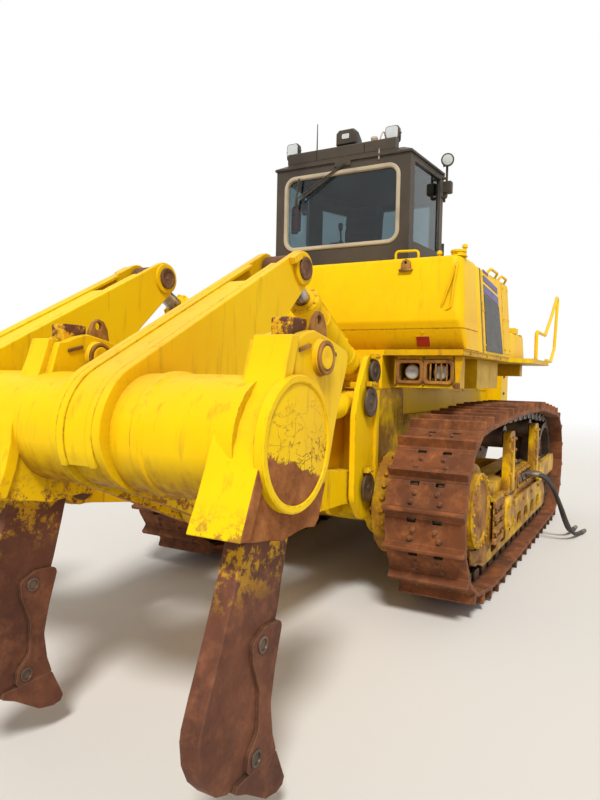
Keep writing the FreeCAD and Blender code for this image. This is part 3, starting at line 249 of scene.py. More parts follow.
def plastic(name, tone, other, low=0.4, high=0.6, scale=30.0, relief=0.0006, **fixed):
    """Moulded plastic, rubber or plain enamel with a fine grain and some dust."""
    paint = Paint(name, **fixed)
    fine = paint.noise(scale, 5.0, 0.6)
    base = paint.mix(paint.band(paint.noise(4.0, 5.0), 0.4, 0.68), tone, other)
    paint.colour(base)
    paint.rough(paint.band(fine, 0.25, 0.75, low, high))
    paint.relief(fine, relief, 0.6, 0.003)
    return paint.material


def cloth(name):
    paint = Paint(name, Sheen_Weight=0.25, Specular_IOR_Level=0.2)
    weave = paint.node("ShaderNodeTexWave", {"Vector": paint.place, "Scale": 190.0, "Distortion": 1.2}).outputs[1]
    cross = paint.node(
        "ShaderNodeTexWave",
        {"Vector": paint.place, "Scale": 190.0, "Distortion": 1.2},
        bands_direction="Z",
    ).outputs[1]
    pattern = paint.maths("MULTIPLY", weave, cross)
    paint.colour(paint.mix(pattern, rgb(0.022, 0.022, 0.026), rgb(0.060, 0.060, 0.068)))
    paint.rough(paint.band(pattern, 0.0, 1.0, 0.95, 0.8))
    paint.relief(pattern, 0.001, 0.7)
    return paint.material


def window_glass(name):
    paint = Paint(name, Roughness=0.04, IOR=1.45, Transmission_Weight=1.0)
    film = paint.band(paint.noise(1.8, 6.0, 0.6), 0.35, 0.7)
    paint.colour(paint.mix(film, rgb(0.34, 0.43, 0.46), rgb(0.25, 0.33, 0.35)))
    paint.relief(paint.noise(3.0, 2.0), 0.0006, 0.2)
    return paint.material


def cap_patch(paint):
    """An end cap's face: bare below, cracked and scratched above that."""
    height = paint.axis(2)
    slant = paint.band(paint.axis(0), -3.90, -3.30, -0.09, 0.09)
    level = paint.maths("ADD", paint.band(height, 1.0, 2.0), slant)
    ragged = paint.maths("ADD", paint.maths("MULTIPLY", paint.noise(6.0, 9.0, 0.7), 0.22), level)
    bare = paint.band(ragged, 0.595, 0.605, 1.0, 0.0)
    first = paint.band(paint.maths("ABSOLUTE", paint.noise(5.0, 3.0, 0.5, (2.0, 1.0, 0.8)), 0.0), 0.488, 0.498)
    first = paint.maths("MULTIPLY", first, paint.band(paint.noise(5.0, 3.0, 0.5, (2.0, 1.0, 0.8)), 0.502, 0.514, 1.0, 0.0))
    second = paint.band(paint.noise(7.0, 4.0, 0.55, (0.7, 1.0, 2.2)), 0.514, 0.526)
    second = paint.maths("MULTIPLY", second, paint.band(paint.noise(7.0, 4.0, 0.55, (0.7, 1.0, 2.2)), 0.532, 0.544, 1.0, 0.0))
    cracks = paint.maths("MAXIMUM", first, second)
    broken = paint.band(paint.noise(11.0, 8.0, 0.7), 0.40, 0.50)
    near = paint.band(height, 1.50, 1.78, 1.0, 0.15)
    scratches = paint.maths("MULTIPLY", paint.maths("MULTIPLY", cracks, broken), near)
    flakes = paint.maths("MULTIPLY", paint.band(paint.noise(14.0, 10.0, 0.8), 0.56, 0.60), paint.band(height, 1.46, 1.66, 1.0, 0.0))
    return paint.maths("MAXIMUM", bare, paint.maths("MAXIMUM", scratches, flakes))


def holder_patch(paint):
    """Bare rust on the outer holders' lower outboard faces and along every holder's foot."""
    outer_right = paint.band(paint.axis(1), -1.355, -1.345, 1.0, 0.0)
    side = paint.maths("MAXIMUM", outer_right, paint.band(paint.axis(1), 1.345, 1.355))
    height = paint.maths("ADD", paint.maths("MULTIPLY", paint.noise(5.0, 9.0, 0.7), 0.12), paint.band(paint.axis(2), 1.0, 2.0))
    slant = paint.band(paint.axis(0), -3.90, -3.30, -0.09, 0.09)
    low = paint.band(paint.maths("ADD", height, slant), 0.515, 0.535, 1.0, 0.0)
    turned = paint.band(paint.maths("ABSOLUTE", paint.facing(1)), 0.4, 0.6)
    outboard = paint.maths("MULTIPLY", paint.maths("MULTIPLY", side, turned), low)
    foot = paint.band(paint.axis(2), 1.22, 1.38, 1.0, 0.0)
    chipped = paint.maths("MULTIPLY", foot, paint.band(paint.noise(15.0, 9.0, 0.78), 0.50, 0.56))
    return paint.maths("MAXIMUM", outboard, chipped)


def shank_flecks(paint):
    """Yellow paint left near the shanks' rear edges, under the holders."""
    high = paint.band(paint.axis(2), 0.95, 1.22)
    broken = paint.band(paint.noise(12.0, 9.0, 0.75), 0.50, 0.56)
    return paint.maths("MULTIPLY", paint.maths("MULTIPLY", high, broken), 0.85)


LOOK = {
    "yellow_paint": yellow_paint("paint_yellow"),
    "charcoal_paint": charcoal("paint_charcoal"),
    "track_steel": rusty("rust_track", polish=0.5, relief=0.003,
                         middle=rgb(0.185, 0.058, 0.019), light=rgb(0.36, 0.125, 0.038)),
    "rusty_steel": rusty("rust_shank", rgb(0.085, 0.030, 0.017), rgb(0.150, 0.052, 0.026), rgb(0.26, 0.095, 0.045),
                         flecks=shank_flecks),
    "worn_steel": worn_steel("steel_worn"),
    "engine_iron": worn_steel("iron_engine", rgb(0.10, 0.10, 0.095), 0.5, 0.3),
    "chrome_rod": worn_steel("rod_chrome", rgb(0.62, 0.62, 0.63), 0.14, 1.0),
    "glass": window_glass("glass_tinted"),
    "seat_cloth": cloth("cloth_seat"),
    "black_plastic": plastic("plastic_black", rgb(0.018, 0.018, 0.019), rgb(0.05, 0.046, 0.04)),
    "hose_rubber": plastic("rubber_hose", rgb(0.016, 0.015, 0.015), rgb(0.055, 0.045, 0.036), 0.5, 0.75, 60.0),
}
LOOK["frame_yellow"] = yellow_paint("paint_frame", dirt_and_shade=1.0, rust=0.9, soil=0.85)
LOOK["dirty_yellow"] = yellow_paint("paint_dirty", dirt_and_shade=1.0, rust=0.6, soil=0.35)
LOOK["hull_yellow"] = yellow_paint("paint_hull", dirt_and_shade=1.0, rust=0.8, soil=0.9)
LOOK["beam_yellow"] = yellow_paint("paint_beam", dirt_and_shade=0.5, rust=0.35, patch=holder_patch, under=0.9)
LOOK["arm_yellow"] = yellow_paint("paint_arm", dirt_and_shade=0.8, rust=0.8, under=0.9)
LOOK["seal_beige"] = plastic("seal_beige", rgb(0.50, 0.42, 0.30), rgb(0.36, 0.30, 0.21), 0.5, 0.7)
LOOK["stripe_blue"] = plastic("stripe_blue", rgb(0.075, 0.050, 0.26), rgb(0.11, 0.085, 0.28), 0.35, 0.5)
LOOK["panel_dark"] = plastic("panel_dark", rgb(0.035, 0.036, 0.034), rgb(0.07, 0.068, 0.058), 0.4, 0.6)
LOOK["signal_red"] = plastic("signal_red", rgb(0.40, 0.018, 0.010), rgb(0.26, 0.016, 0.010), 0.25, 0.4)
LOOK["lens"] = plastic("lamp_lens", rgb(0.62, 0.65, 0.66), rgb(0.5, 0.52, 0.52), 0.08, 0.2, Coat_Weight=0.6)
LOOK["cap_yellow"] = yellow_paint("paint_cap", dirt_and_shade=0.5, rust=0.5, patch=cap_patch)
LOOK["rust_pin"] = rusty("rust_pin", rgb(0.07, 0.030, 0.018), rgb(0.155, 0.070, 0.035), rgb(0.28, 0.13, 0.06))
LOOK["rust_trim"] = rusty("rust_trim", rgb(0.16, 0.060, 0.018), rgb(0.34, 0.14, 0.030), rgb(0.55, 0.28, 0.05))
LOOK["grease"] = worn_steel("steel_greasy", rgb(0.060, 0.045, 0.034), 0.3, 0.4)

NODE_LOOK = {
    "track_frames": "frame_yellow",
    "main_frame": "hull_yellow",
    "lower_arm": "arm_yellow",
    "ripper_beam": "beam_yellow",
    "lamp_boxes": "dirty_yellow",
    "fenders": "dirty_yellow",
    "final_drives": "frame_yellow",
    "carrier_rollers": "grease",
    "track_rollers": "grease",
    "idlers": "grease",
}
for part in frame["record"]["subparts"]:
    look = LOOK[NODE_LOOK.get(part["node"], part["material_slot"])]
    for place in nodes[part["node"]].material_slots:
        place.material = look


# Mesh pieces

def frame_of(way):
    """Two directions across a way."""
    way = way.normalized()
    side = way.orthogonal().normalized()
    return side, way.cross(side)


class Shape:
    """A mesh that is built up from lofts, turned bars and plates."""

    def __init__(self):
        self.bm = bmesh.new()

    def loft(self, rings, closed=False, caps=True):
        made = [[self.bm.verts.new(spot) for spot in ring] for ring in rings]
        count = len(made[0])
        pairs = list(zip(made, made[1:]))
        if closed:
            pairs.append((made[-1], made[0]))
        for first, second in pairs:
            for index in range(count):
                after = (index + 1) % count
                self.bm.faces.new((first[index], first[after], second[after], second[index]))
        if caps and not closed:
            self.bm.faces.new(list(reversed(made[0])))
            self.bm.faces.new(made[-1])
        return self

    def lathe(self, start, way, profile, sides=24, across=None):
        """Rings round a way: profile holds (distance, radius)."""
        way = way.normalized()
        side, up = across or frame_of(way)
        rings = []
        for distance, radius in profile:
            middle = start + way * distance
            turn = [2 * math.pi * index / sides for index in range(sides)]
            rings.append([middle + (side * math.cos(a) + up * math.sin(a)) * radius for a in turn])
        return self.loft(rings)

    def bolt(self, spot, way, size=0.017, height=0.014):
        """A washer with a hexagon head, its top edge turned down."""
        self.lathe(spot, way, ((-0.004, size * 1.3), (0.004, size * 1.3), (0.0045, size * 1.2)), 14)
        self.lathe(spot, way, ((0.003, size), (height, size), (height + 0.003, size * 0.82)), 6)
        return self

    def bolts(self, centre, way, radius, count, size=0.017, height=0.014, start=0.0):
        side, up = frame_of(way)
        for index in range(count):
            a = start + 2 * math.pi * index / count
            self.bolt(centre + (side * math.cos(a) + up * math.sin(a)) * radius, way, size, height)
        return self

    def prism(self, outline, deep):
        """A plate from its outline's points and the vector across it."""
        return self.loft([outline, [spot + deep for spot in outline]])

    def plate(self, outline, low, high):
        """A plate across the machine from its outline in the side plane."""
        return self.prism([at(x, low, z) for x, z in outline], Vector((0, (high - low) / 1000, 0)))

    def ring_plate(self, outer, inner, low, high):
        """A plate with a hole; both outlines have as many points."""
        loops = []
        for outline, y in ((outer, low), (outer, high), (inner, high), (inner, low)):
            loops.append([at(x, y, z) for x, z in outline])
        return self.loft(loops, closed=True)

    def block(self, low, high, chamfer=0.0):
        """A block between two corners, its four upright edges cut off."""
        c = chamfer
        x0, y0, z0 = low
        x1, y1, z1 = high
        plan = ((x0 + c, y0), (x1 - c, y0), (x1, y0 + c), (x1, y1 - c), (x1 - c, y1), (x0 + c, y1), (x0, y1 - c), (x0, y0 + c))
        if not c:
            plan = ((x0, y0), (x1, y0), (x1, y1), (x0, y1))
        return self.loft([[Vector((x, y, z)) for x, y in plan] for z in (z0, z1)])

    def tube(self, points, radius, sides=12, smooth=5):
        """A bent bar along points, its bends rounded."""
        line = rounded_line(points, smooth)
        rings = []
        side = None
        for index, spot in enumerate(line):
            before = line[max(index - 1, 0)]
            after = line[min(index + 1, len(line) - 1)]
            way = (after - before).normalized()
            side = way.orthogonal().normalized() if side is None else (side - way * side.dot(way)).normalized()
            up = way.cross(side)
            turn = [2 * math.pi * k / sides for k in range(sides)]
            rings.append([spot + (side * math.cos(a) + up * math.sin(a)) * radius for a in turn])
        return self.loft(rings)

    def done(self, name, body, look, slot, bevel=0.0, sharp=35):
        bmesh.ops.recalc_face_normals(self.bm, faces=self.bm.faces)
        mesh = bpy.data.meshes.new(name)
        self.bm.to_mesh(mesh)
        self.bm.free()
        mesh.shade_smooth()
        mesh.set_sharp_from_angle(angle=math.radians(sharp))
        made = bpy.data.objects.new(name, mesh)
        bpy.context.scene.collection.objects.link(made)
        mesh.materials.append(LOOK[look])
        if bevel:
            soft = made.modifiers.new("bevel", "BEVEL")
            soft.width = bevel
            soft.segments = 2
            soft.limit_method = "ANGLE"
        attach(made, body)
        return made


def rounded_line(points, smooth):
    """The points with each inner corner replaced by a short curve."""
    points = [Vector(point) for point in points]
    line = [points[0]]
    for before, here, after in zip(points, points[1:], points[2:]):
        reach = 0.42 * min((before - here).length, (after - here).length)
        start = here + (before - here).normalized() * reach
        end = here + (after - here).normalized() * reach
        for step in range(smooth + 1):
            share = step / smooth
            line.append(start * (1 - share) ** 2 + here * 2 * share * (1 - share) + end * share ** 2)
    line.append(points[-1])
    return line


# Camera

FOCAL = 639.0
YAW, PITCH, ROLL = (math.radians(angle) for angle in (29.05, -2.06, 1.19))
FRAME_HEIGHT = 800
SENSOR = 36
ahead = Vector((math.cos(YAW) * math.cos(PITCH), math.sin(YAW) * math.cos(PITCH), math.sin(PITCH)))
level = ahead.cross(Vector((0, 0, 1))).normalized()
upward = level.cross(ahead)
right = level * math.cos(ROLL) + upward * math.sin(ROLL)
top = upward * math.cos(ROLL) - level * math.sin(ROLL)
camera = bpy.data.objects.new("camera", bpy.data.cameras.new("camera"))
camera.data.sensor_fit = "VERTICAL"
camera.data.sensor_height = SENSOR
camera.data.lens = FOCAL / FRAME_HEIGHT * SENSOR
camera.data.clip_end = 300
turned = Matrix((right, top, -ahead)).transposed().to_4x4()
turned.translation = at(-5134, -2688, 1836)
camera.matrix_world = turned
bpy.context.scene.collection.objects.link(camera)
bpy.context.scene.camera = camera

# Hoses: control points as in the part's source

FITTING_END = 1500.3
HOSES = (
    (
        (2380, -FITTING_END, 800),
        (2380, -1640, 800),
        (2450, -1740, 640),
        (2560, -1810, 430),
        (2700, -1860, 230),
        (2880, -1900, 90),
        (3080, -1930, 32),
        (3280, -1975, 32),
    ),
    (
        (2560, -FITTING_END, 790),
        (2560, -1620, 790),
        (2640, -1700, 640),
        (2740, -1760, 450),
        (2870, -1800, 250),
        (3030, -1830, 100),
        (3220, -1850, 32),
        (3420, -1870, 32),
    ),
)
HOSE_RADIUS = 0.022
HOSE_LENGTHS = (1.52, 1.42)


def spline_points(piece):
    """Points along a curve piece's own line."""
    shown = piece.data.bevel_depth
    piece.data.bevel_depth = 0
    line = bpy.data.meshes.new_from_object(piece)
    piece.data.bevel_depth = shown
    spots = [vertex.co.copy() for vertex in line.vertices]
    bpy.data.meshes.remove(line)
    return spots


for number, (route, length) in enumerate(zip(HOSES, HOSE_LENGTHS), start=1):
    curve = bpy.data.curves.new("rubber_hose_%d" % number, "CURVE")
    curve.dimensions = "3D"
    curve.bevel_depth = HOSE_RADIUS
    curve.bevel_resolution = 5
    curve.resolution_u = 16
    spline = curve.splines.new("NURBS")
    spline.points.add(len(route) - 1)
    for point, spot in zip(spline.points, route):
        point.co = (*at(*spot), 1)
    spline.order_u = 3
    spline.use_endpoint_u = True
    hose = bpy.data.objects.new("rubber_hose_%d" % number, curve)
    bpy.context.scene.collection.objects.link(hose)
    curve.materials.append(LOOK["hose_rubber"])
    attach(hose, "tractor")
    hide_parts("hose_%d" % number)

    start = at(*route[0])
    relief = Shape()
    relief.lathe(start + Vector((0, 0.03, 0)), Vector((0, -1, 0)), ((0, 0.036), (0.028, 0.036), (0.031, 0.031)), 6)
    relief.lathe(
        start,
        Vector((0, -1, 0)),
        ((0, 0.027), (0.004, 0.030), (0.045, 0.030), (0.05, 0.0275), (0.085, 0.0245), (0.09, 0.0225)),
        24,
    )
    relief = relief.done("hose_relief_%d" % number, "tractor", "worn_steel", "worn_steel")

    end = at(*route[-1])
    way = (end - at(*route[-2])).normalized()
    coupling = Shape()
    coupling.lathe(end - way * 0.05, way, ((0, 0.0225), (0.005, 0.0255), (0.05, 0.0255), (0.052, 0.021)), 24)
    coupling.lathe(end + way * 0.002, way, ((0, 0.024), (0.03, 0.024), (0.033, 0.021)), 6)
    coupling.lathe(end + way * 0.03, way, ((0, 0.019), (0.028, 0.019), (0.029, 0.023), (0.054, 0.023), (0.057, 0.02)), 24)
    coupling = coupling.done("hose_coupling_%d" % number, "tractor", "worn_steel", "worn_steel")
    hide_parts("hose_couplings")

# Tracks

TRACK_MIDDLE = 1250
AXLE = 800
SHOE_RADIUS = 660
WHEELBASE = 4000
IDLER_RADIUS = 670
GROUSER = 80
TO_ROLLER = 125
ROLLER_HEIGHT = GROUSER + TO_ROLLER + 0.3 + 125
CARRIER_TOP = 1530
CARRIER_HEIGHT = CARRIER_TOP - TO_ROLLER - 0.3 - 115
CARRIERS = (1350, 2800)
WHEELS = (
    (0, AXLE, SHOE_RADIUS),
    (CARRIERS[0], CARRIER_HEIGHT, CARRIER_TOP - CARRIER_HEIGHT),
    (CARRIERS[1], CARRIER_HEIGHT, CARRIER_TOP - CARRIER_HEIGHT),
    (WHEELBASE, GROUSER + IDLER_RADIUS, IDLER_RADIUS),
    (430, ROLLER_HEIGHT, ROLLER_HEIGHT - GROUSER),
)
PITCH_WISHED = 280


def belt():
    """The loop's arcs and lines, clockwise, each with its length."""
    leaves = []
    for wheel, following in zip(WHEELS, WHEELS[1:] + WHEELS[:1]):
        distance = math.hypot(following[0] - wheel[0], following[1] - wheel[1])
        heading = math.atan2(following[1] - wheel[1], following[0] - wheel[0])
        leaves.append(heading + math.acos((wheel[2] - following[2]) / distance))
    runs = []
    for index, (wheel, following) in enumerate(zip(WHEELS, WHEELS[1:] + WHEELS[:1])):
        entry = leaves[index - 1]
        leave = leaves[index]
        swept = (entry - leave) % (2 * math.pi)
        runs.append((wheel[2] * swept, wheel, entry, None))
        start = Vector((wheel[0] + wheel[2] * math.cos(leave), wheel[1] + wheel[2] * math.sin(leave)))
        end = Vector((following[0] + following[2] * math.cos(leave), following[1] + following[2] * math.sin(leave)))
        runs.append(((end - start).length, start, leave, end))
    return runs


BELT = belt()
LOOP = sum(run[0] for run in BELT)
SHOES = round(LOOP / PITCH_WISHED)
STEP = LOOP / SHOES


def on_belt(travel, outward):
    travel = travel % LOOP
    for run in BELT:
        if travel <= run[0]:
            break
        travel -= run[0]
    if run[3] is None:
        angle = run[2] - travel / run[1][2]
        reach = run[1][2] + outward
        return Vector((run[1][0] + reach * math.cos(angle), run[1][1] + reach * math.sin(angle)))
    spot = run[1] + (run[3] - run[1]) * (travel / run[0])
    return spot + Vector((math.cos(run[2]), math.sin(run[2]))) * outward


PIN_DEPTH = 80
SHOE_HALF = 305
# The shoe's section as (place along the pitch, height above its face), in millimetres.
SECTION = (
    (-133, -30), (-136, -12), (-128, 0), (-116, 6), (-104, 40), (-97, 77), (-90, 80), (-76, 80), (-70, 76),
    (-64, 36), (-56, 8), (-44, 0), (98, 0), (118, -3), (138, -14), (139, -22), (132, -26), (110, -30),
)
WINDOWS = ((-132, -62), (62, 132))
WINDOW_END = 104


def shoe_section(width, across):
    """The section at a place across the shoe, shorter where a window is cut and at the ends."""
    cut = any(low < across < high for low, high in WINDOWS)
    spots = []
    for along, height in SECTION:
        if cut:
            along = min(along, WINDOW_END)
        spots.append((along * width, height if width == 1 else height * 0.96))
    return spots


STATIONS = ((-305, 0.965), (-298, 1), (-133, 1), (-131, 1), (-63, 1), (-61, 1), (61, 1), (63, 1), (131, 1), (133, 1), (298, 1), (305, 0.965))
for side, label in ((-1, "right"), (1, "left")):
    plates = Shape()
    chain = Shape()
    bolts = Shape()
    for shoe in range(SHOES):
        first = on_belt((shoe - 0.5) * STEP, -PIN_DEPTH)
        second = on_belt((shoe + 0.5) * STEP, -PIN_DEPTH)
        along = (second - first).normalized()
        out = Vector((-along.y, along.x))
        middle = (first + second) / 2 + out * PIN_DEPTH

        def spot(s, h, w):
            flat = middle + along * s + out * h
            return at(flat.x, side * TRACK_MIDDLE + w, flat.y)

        way = Vector((out.x, 0, out.y))
        wobble = random.uniform(-1.5, 1.5)
        rings = []
        for across, width in STATIONS:
            rings.append([spot(s, h + wobble * (h > 30), across) for s, h in shoe_section(width, across)])
        plates.loft(rings)
        for w in (-112, -84, 84, 112):
            s = -18 if abs(w) > 90 else 52
            bolts.bolt(spot(s, 0, w), way, 0.0165, 0.017)
        for rail in (-1, 1):
            near = rail * 76
            for s0, s1, w0, w1 in ((-178, 20, near, near + rail * 34), (-20, 178, near + rail * 36, near + rail * 70)):
                outline = [
                    (s0, -62), (s0 + 14, -42), (s0 + 40, -30), (s1 - 40, -30), (s1 - 14, -42), (s1, -62),
                    (s1, -98), (s1 - 16, -116), (s1 - 42, -122), (s0 + 42, -122), (s0 + 16, -116), (s0, -98),
                ]
                chain.loft([[spot(s, h, w) for s, h in outline] for w in (w0, w1)])
            pin = spot(STEP / 2, -PIN_DEPTH, rail * 60)
            chain.lathe(pin, Vector((0, rail, 0)), ((0, 0.034), (0.088, 0.034), (0.089, 0.026), (0.093, 0.025)), 16)
    made = plates.done("track_shoes_" + label, "tractor", "track_steel", "track_steel")
    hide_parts("track_" + label)
    chain.done("track_chain_" + label, "tractor", "grease", "track_steel")
    bolts.done("track_bolts_" + label, "tractor", "track_steel", "track_steel")

# Ripper

TUBE = (-2930, 1570)
TILT_EYE = (-1580, 2520)
BEAM_PIN = (-2330, 1130)
LIFT_EYE = (-2000, 1420)
LIFT_BASE = (-480, 1650)
TILT_BASE = (-410, 1890)
LOWER_PIN = (-500, 980)
ARM_PLANE = 560
SPACING = 1330
TUBE_RADIUS = 270
PLATE_RADIUS = 330
EYE_RADIUS = 115


def circle(centre, radius, start, end, steps):
    """Points of an arc in the side plane, from one angle to another in degrees."""
    turn = [math.radians(start + (end - start) * step / steps) for step in range(steps + 1)]
    return [(centre[0] + radius * math.cos(a), centre[1] + radius * math.sin(a)) for a in turn]


def tangent_angles(first, radius, second, end_radius):
    """Angles at which the two straight edges of a tapered link leave its circles."""
    away = (second[0] - first[0], second[1] - first[1])
    heading = math.degrees(math.atan2(away[1], away[0]))
    spread = math.degrees(math.acos((radius - end_radius) / math.hypot(*away)))
    return heading + spread, heading - spread


def on_circle(centre, radius, angle):
    return circle(centre, radius, angle, angle, 1)[0]


def crossing(a, b, c, d):
    """Where the line a to b meets the line c to d."""
    first = Vector(b) - Vector(a)
    second = Vector(d) - Vector(c)
    between = Vector(c) - Vector(a)
    share = between.cross(second) / first.cross(second)
    return tuple(Vector(a) + first * share)


def arm_outline(plate, eye):
    """The arm's plate: round the tube, up to the tilt eye and down to the beam's pin."""
    high, low = tangent_angles(TUBE, plate, TILT_EYE, eye)
    fork_high, fork_low = tangent_angles(TUBE, plate, BEAM_PIN, eye)
    fork = crossing(
        on_circle(TUBE, plate, low),
        on_circle(TILT_EYE, eye, low),
        on_circle(TUBE, plate, fork_high),
        on_circle(BEAM_PIN, eye, fork_high),
    )
    points = circle(TILT_EYE, eye, high, low, 10)
    points.append((fork[0] + 90, fork[1] + 105))
    points.append((fork[0] + 35, fork[1] + 25))
    points.append((fork[0] + 70, fork[1] - 45))
    points += circle(BEAM_PIN, eye, fork_high, fork_low, 10)
    wrap = 24
    for step in range(wrap + 1):
        angle = fork_low + (high - 360 - fork_low) * step / wrap
        behind = min(max((angle + 180) / 68, 0), 1)
        points.append(on_circle(TUBE, plate - 48 * behind, angle))
    return points


tube = Shape()
BAND = (0.281, 0.834, 0.872)
profile = [(-1.33, 0.270)]
for sign in (-1, 1):
    near, far = sorted((sign * BAND[1], sign * BAND[2]))
    profile += [(near - 0.012, 0.270), (near, BAND[0]), (far, BAND[0]), (far + 0.012, 0.270)]
profile.append((1.33, 0.270))
tube.lathe(at(TUBE[0], 0, TUBE[1]), Vector((0, 1, 0)), profile, 72)
tube.done("beam_tube", "ripper_beam", "beam_yellow", "yellow_paint")

ARM_PLATES = ((410, 455), (665, 710))
arms = Shape()
webs = Shape()
for side in (-1, 1):
    for number, (low, high) in enumerate(ARM_PLATES):
        arms.plate(arm_outline(PLATE_RADIUS, EYE_RADIUS), side * low, side * high)
        flange = (high, high + 38) if number == 0 else (low - 38, low)
        up, down = tangent_angles(TUBE, PLATE_RADIUS, TILT_EYE, EYE_RADIUS)
        strip = circle(TILT_EYE, EYE_RADIUS, up - 8, up, 1) + circle(TUBE, PLATE_RADIUS, up, 205, 14)
        inner = circle(TILT_EYE, EYE_RADIUS - 24, up - 8, up, 1) + circle(TUBE, PLATE_RADIUS - 24, up, 205, 14)
        share = 0.13
        for line in (strip, inner):
            line[0:2] = [tuple(Vector(line[1]).lerp(Vector(line[2]), share))]
        arms.plate(strip + inner[::-1], side * flange[0], side * flange[1])
    web = circle(TUBE, PLATE_RADIUS - 55, 118, 95, 4)
    web += [(-1990, 2320), (-1960, 2230), (-2560, 1800), (-2800, 1600)]
    webs.plate(web, side * 455, side * 665)
    cover = []
    for depth in (10, 28):
        line = circle(TUBE, PLATE_RADIUS - depth, up, 205, 13)
        start = Vector(circle(TILT_EYE, EYE_RADIUS - depth, up - 8, up, 1)[1])
        cover.append([tuple(start.lerp(Vector(line[0]), 0.30))] + line)
    arms.plate(cover[0] + cover[1][::-1], side * 492, side * 628)
arms.done("beam_arms", "ripper_beam", "beam_yellow", "yellow_paint", 0.005)
webs.done("beam_arm_webs", "ripper_beam", "dirty_yellow", "yellow_paint", 0.004)

# The holders' sections: height, rear edge outboard, rear edge inboard, half width outboard, inboard
REAR_PLATE = (
    (2003, -2971, -2973, 116, 62),
    (1900, -3004, -3008, 116, 63),
    (1812, -3034, -3044, 116, 66),
    (1760, -3060, -3090, 116, 72),
    (1700, -3092, -3150, 116, 80),
    (1640, -3124, -3192, 116, 88),
    (1570, -3160, -3212, 117, 98),
    (1502, -3195, -3222, 118, 106),
    (1386, -3251, -3256, 120, 116),
    (1300, -3292, -3292, 122, 121),
    (1252, -3312, -3312, 122, 122),
)
HOLDER_SIDE = (
    (-2945, 1984), (-2890, 1992), (-2830, 2018), (-2758, 2034), (-2640, 2012), (-2440, 1962),
    (-2416, 1940), (-2430, 1880), (-2501, 1722), (-2546, 1601), (-2612, 1400), (-2681, 1226),
    (-2716, 1194), (-2790, 1206), (-2875, 1203), (-2990, 1190), (-3080, 1212), (-3180, 1226),
    (-3270, 1245), (-3165, 1480), (-3000, 1810),
)
REAR_FILL = ((-2935, 1978), (-2875, 1978), (-2875, 1905), (-2995, 1820), (-3100, 1480), (-3172, 1290), (-3270, 1270), (-3160, 1500), (-3000, 1810))
FRONT_FILL = (
    (-2714, 1990), (-2640, 1995), (-2445, 1945), (-2436, 1886), (-2505, 1722), (-2550, 1601), (-2616, 1400),
    (-2686, 1228), (-2820, 1245), (-2655, 1895), (-2714, 1905),
)
HOLDER_BOSS = (-2700, 1920)
holders = Shape()
rust_rings = Shape()
for middle, out in ((-SPACING, -1), (0, -1), (SPACING, 1)):
    outer = middle != 0
    rings = []
    for z, edge_out, edge_in, half_out, half_in in REAR_PLATE:
        if not outer:
            half_out = half_in
            edge_out = edge_in
        front = max(edge_out, edge_in) + 66
        rings.append([
            at(edge_out, middle + out * half_out, z),
            at(edge_in, middle - out * half_in, z),
            at(front, middle - out * half_in, z),
            at(front, middle + out * half_out, z),
        ])
    holders.loft(rings)
    for low, high in ((46, 102), (-100, -46)):
        holders.plate(HOLDER_SIDE, middle + out * low, middle + out * high)
    holders.plate(REAR_FILL, middle - 46, middle + 46)
    holders.plate(FRONT_FILL, middle - 46, middle + 46)
    for way in (-1, 1):
        base = at(HOLDER_BOSS[0], middle + way * 98, HOLDER_BOSS[1])
        holders.lathe(base, Vector((0, way, 0)), ((0, 0.086), (0.008, 0.078), (0.028, 0.075)), 32)
        rust_rings.lathe(base, Vector((0, way, 0)), ((0.02, 0.074), (0.038, 0.074), (0.041, 0.071), (0.041, 0.058), (0.034, 0.056)), 32)
        holders.lathe(base, Vector((0, way, 0)), ((0.03, 0.054), (0.040, 0.052), (0.041, 0.012), (0.039, 0.008)), 32)
        for x, z, lean, long in ((-2845, 1956, 14, 46), (-2592, 1948, -16, 34)):
            slope = math.tan(math.radians(lean))
            bar = [(x - long, z - long * slope - 8), (x + long, z + long * slope - 8), (x + long, z + long * slope + 8), (x - long, z - long * slope + 8)]
            low, high = sorted((middle + way * 100, middle + way * 112))
            rust_rings.plate(bar, low, high)
    ear = ((-2735, 1990), (-2722, 2052), (-2698, 2100), (-2664, 2124), (-2626, 2112), (-2598, 2070), (-2585, 2004), (-2660, 1990))
    hole = [(-2662 + 24 * math.cos(a), 2084 + 24 * math.sin(a)) for a in [math.radians(200 - 45 * k) for k in range(8)]]
    rust_rings.ring_plate(ear, hole, middle + out * 52, middle + out * 74)
holders.done("beam_holders", "ripper_beam", "beam_yellow", "yellow_paint", 0.007)
rust_rings.done("holder_trim", "ripper_beam", "rust_trim", "rusty_steel", 0.002)

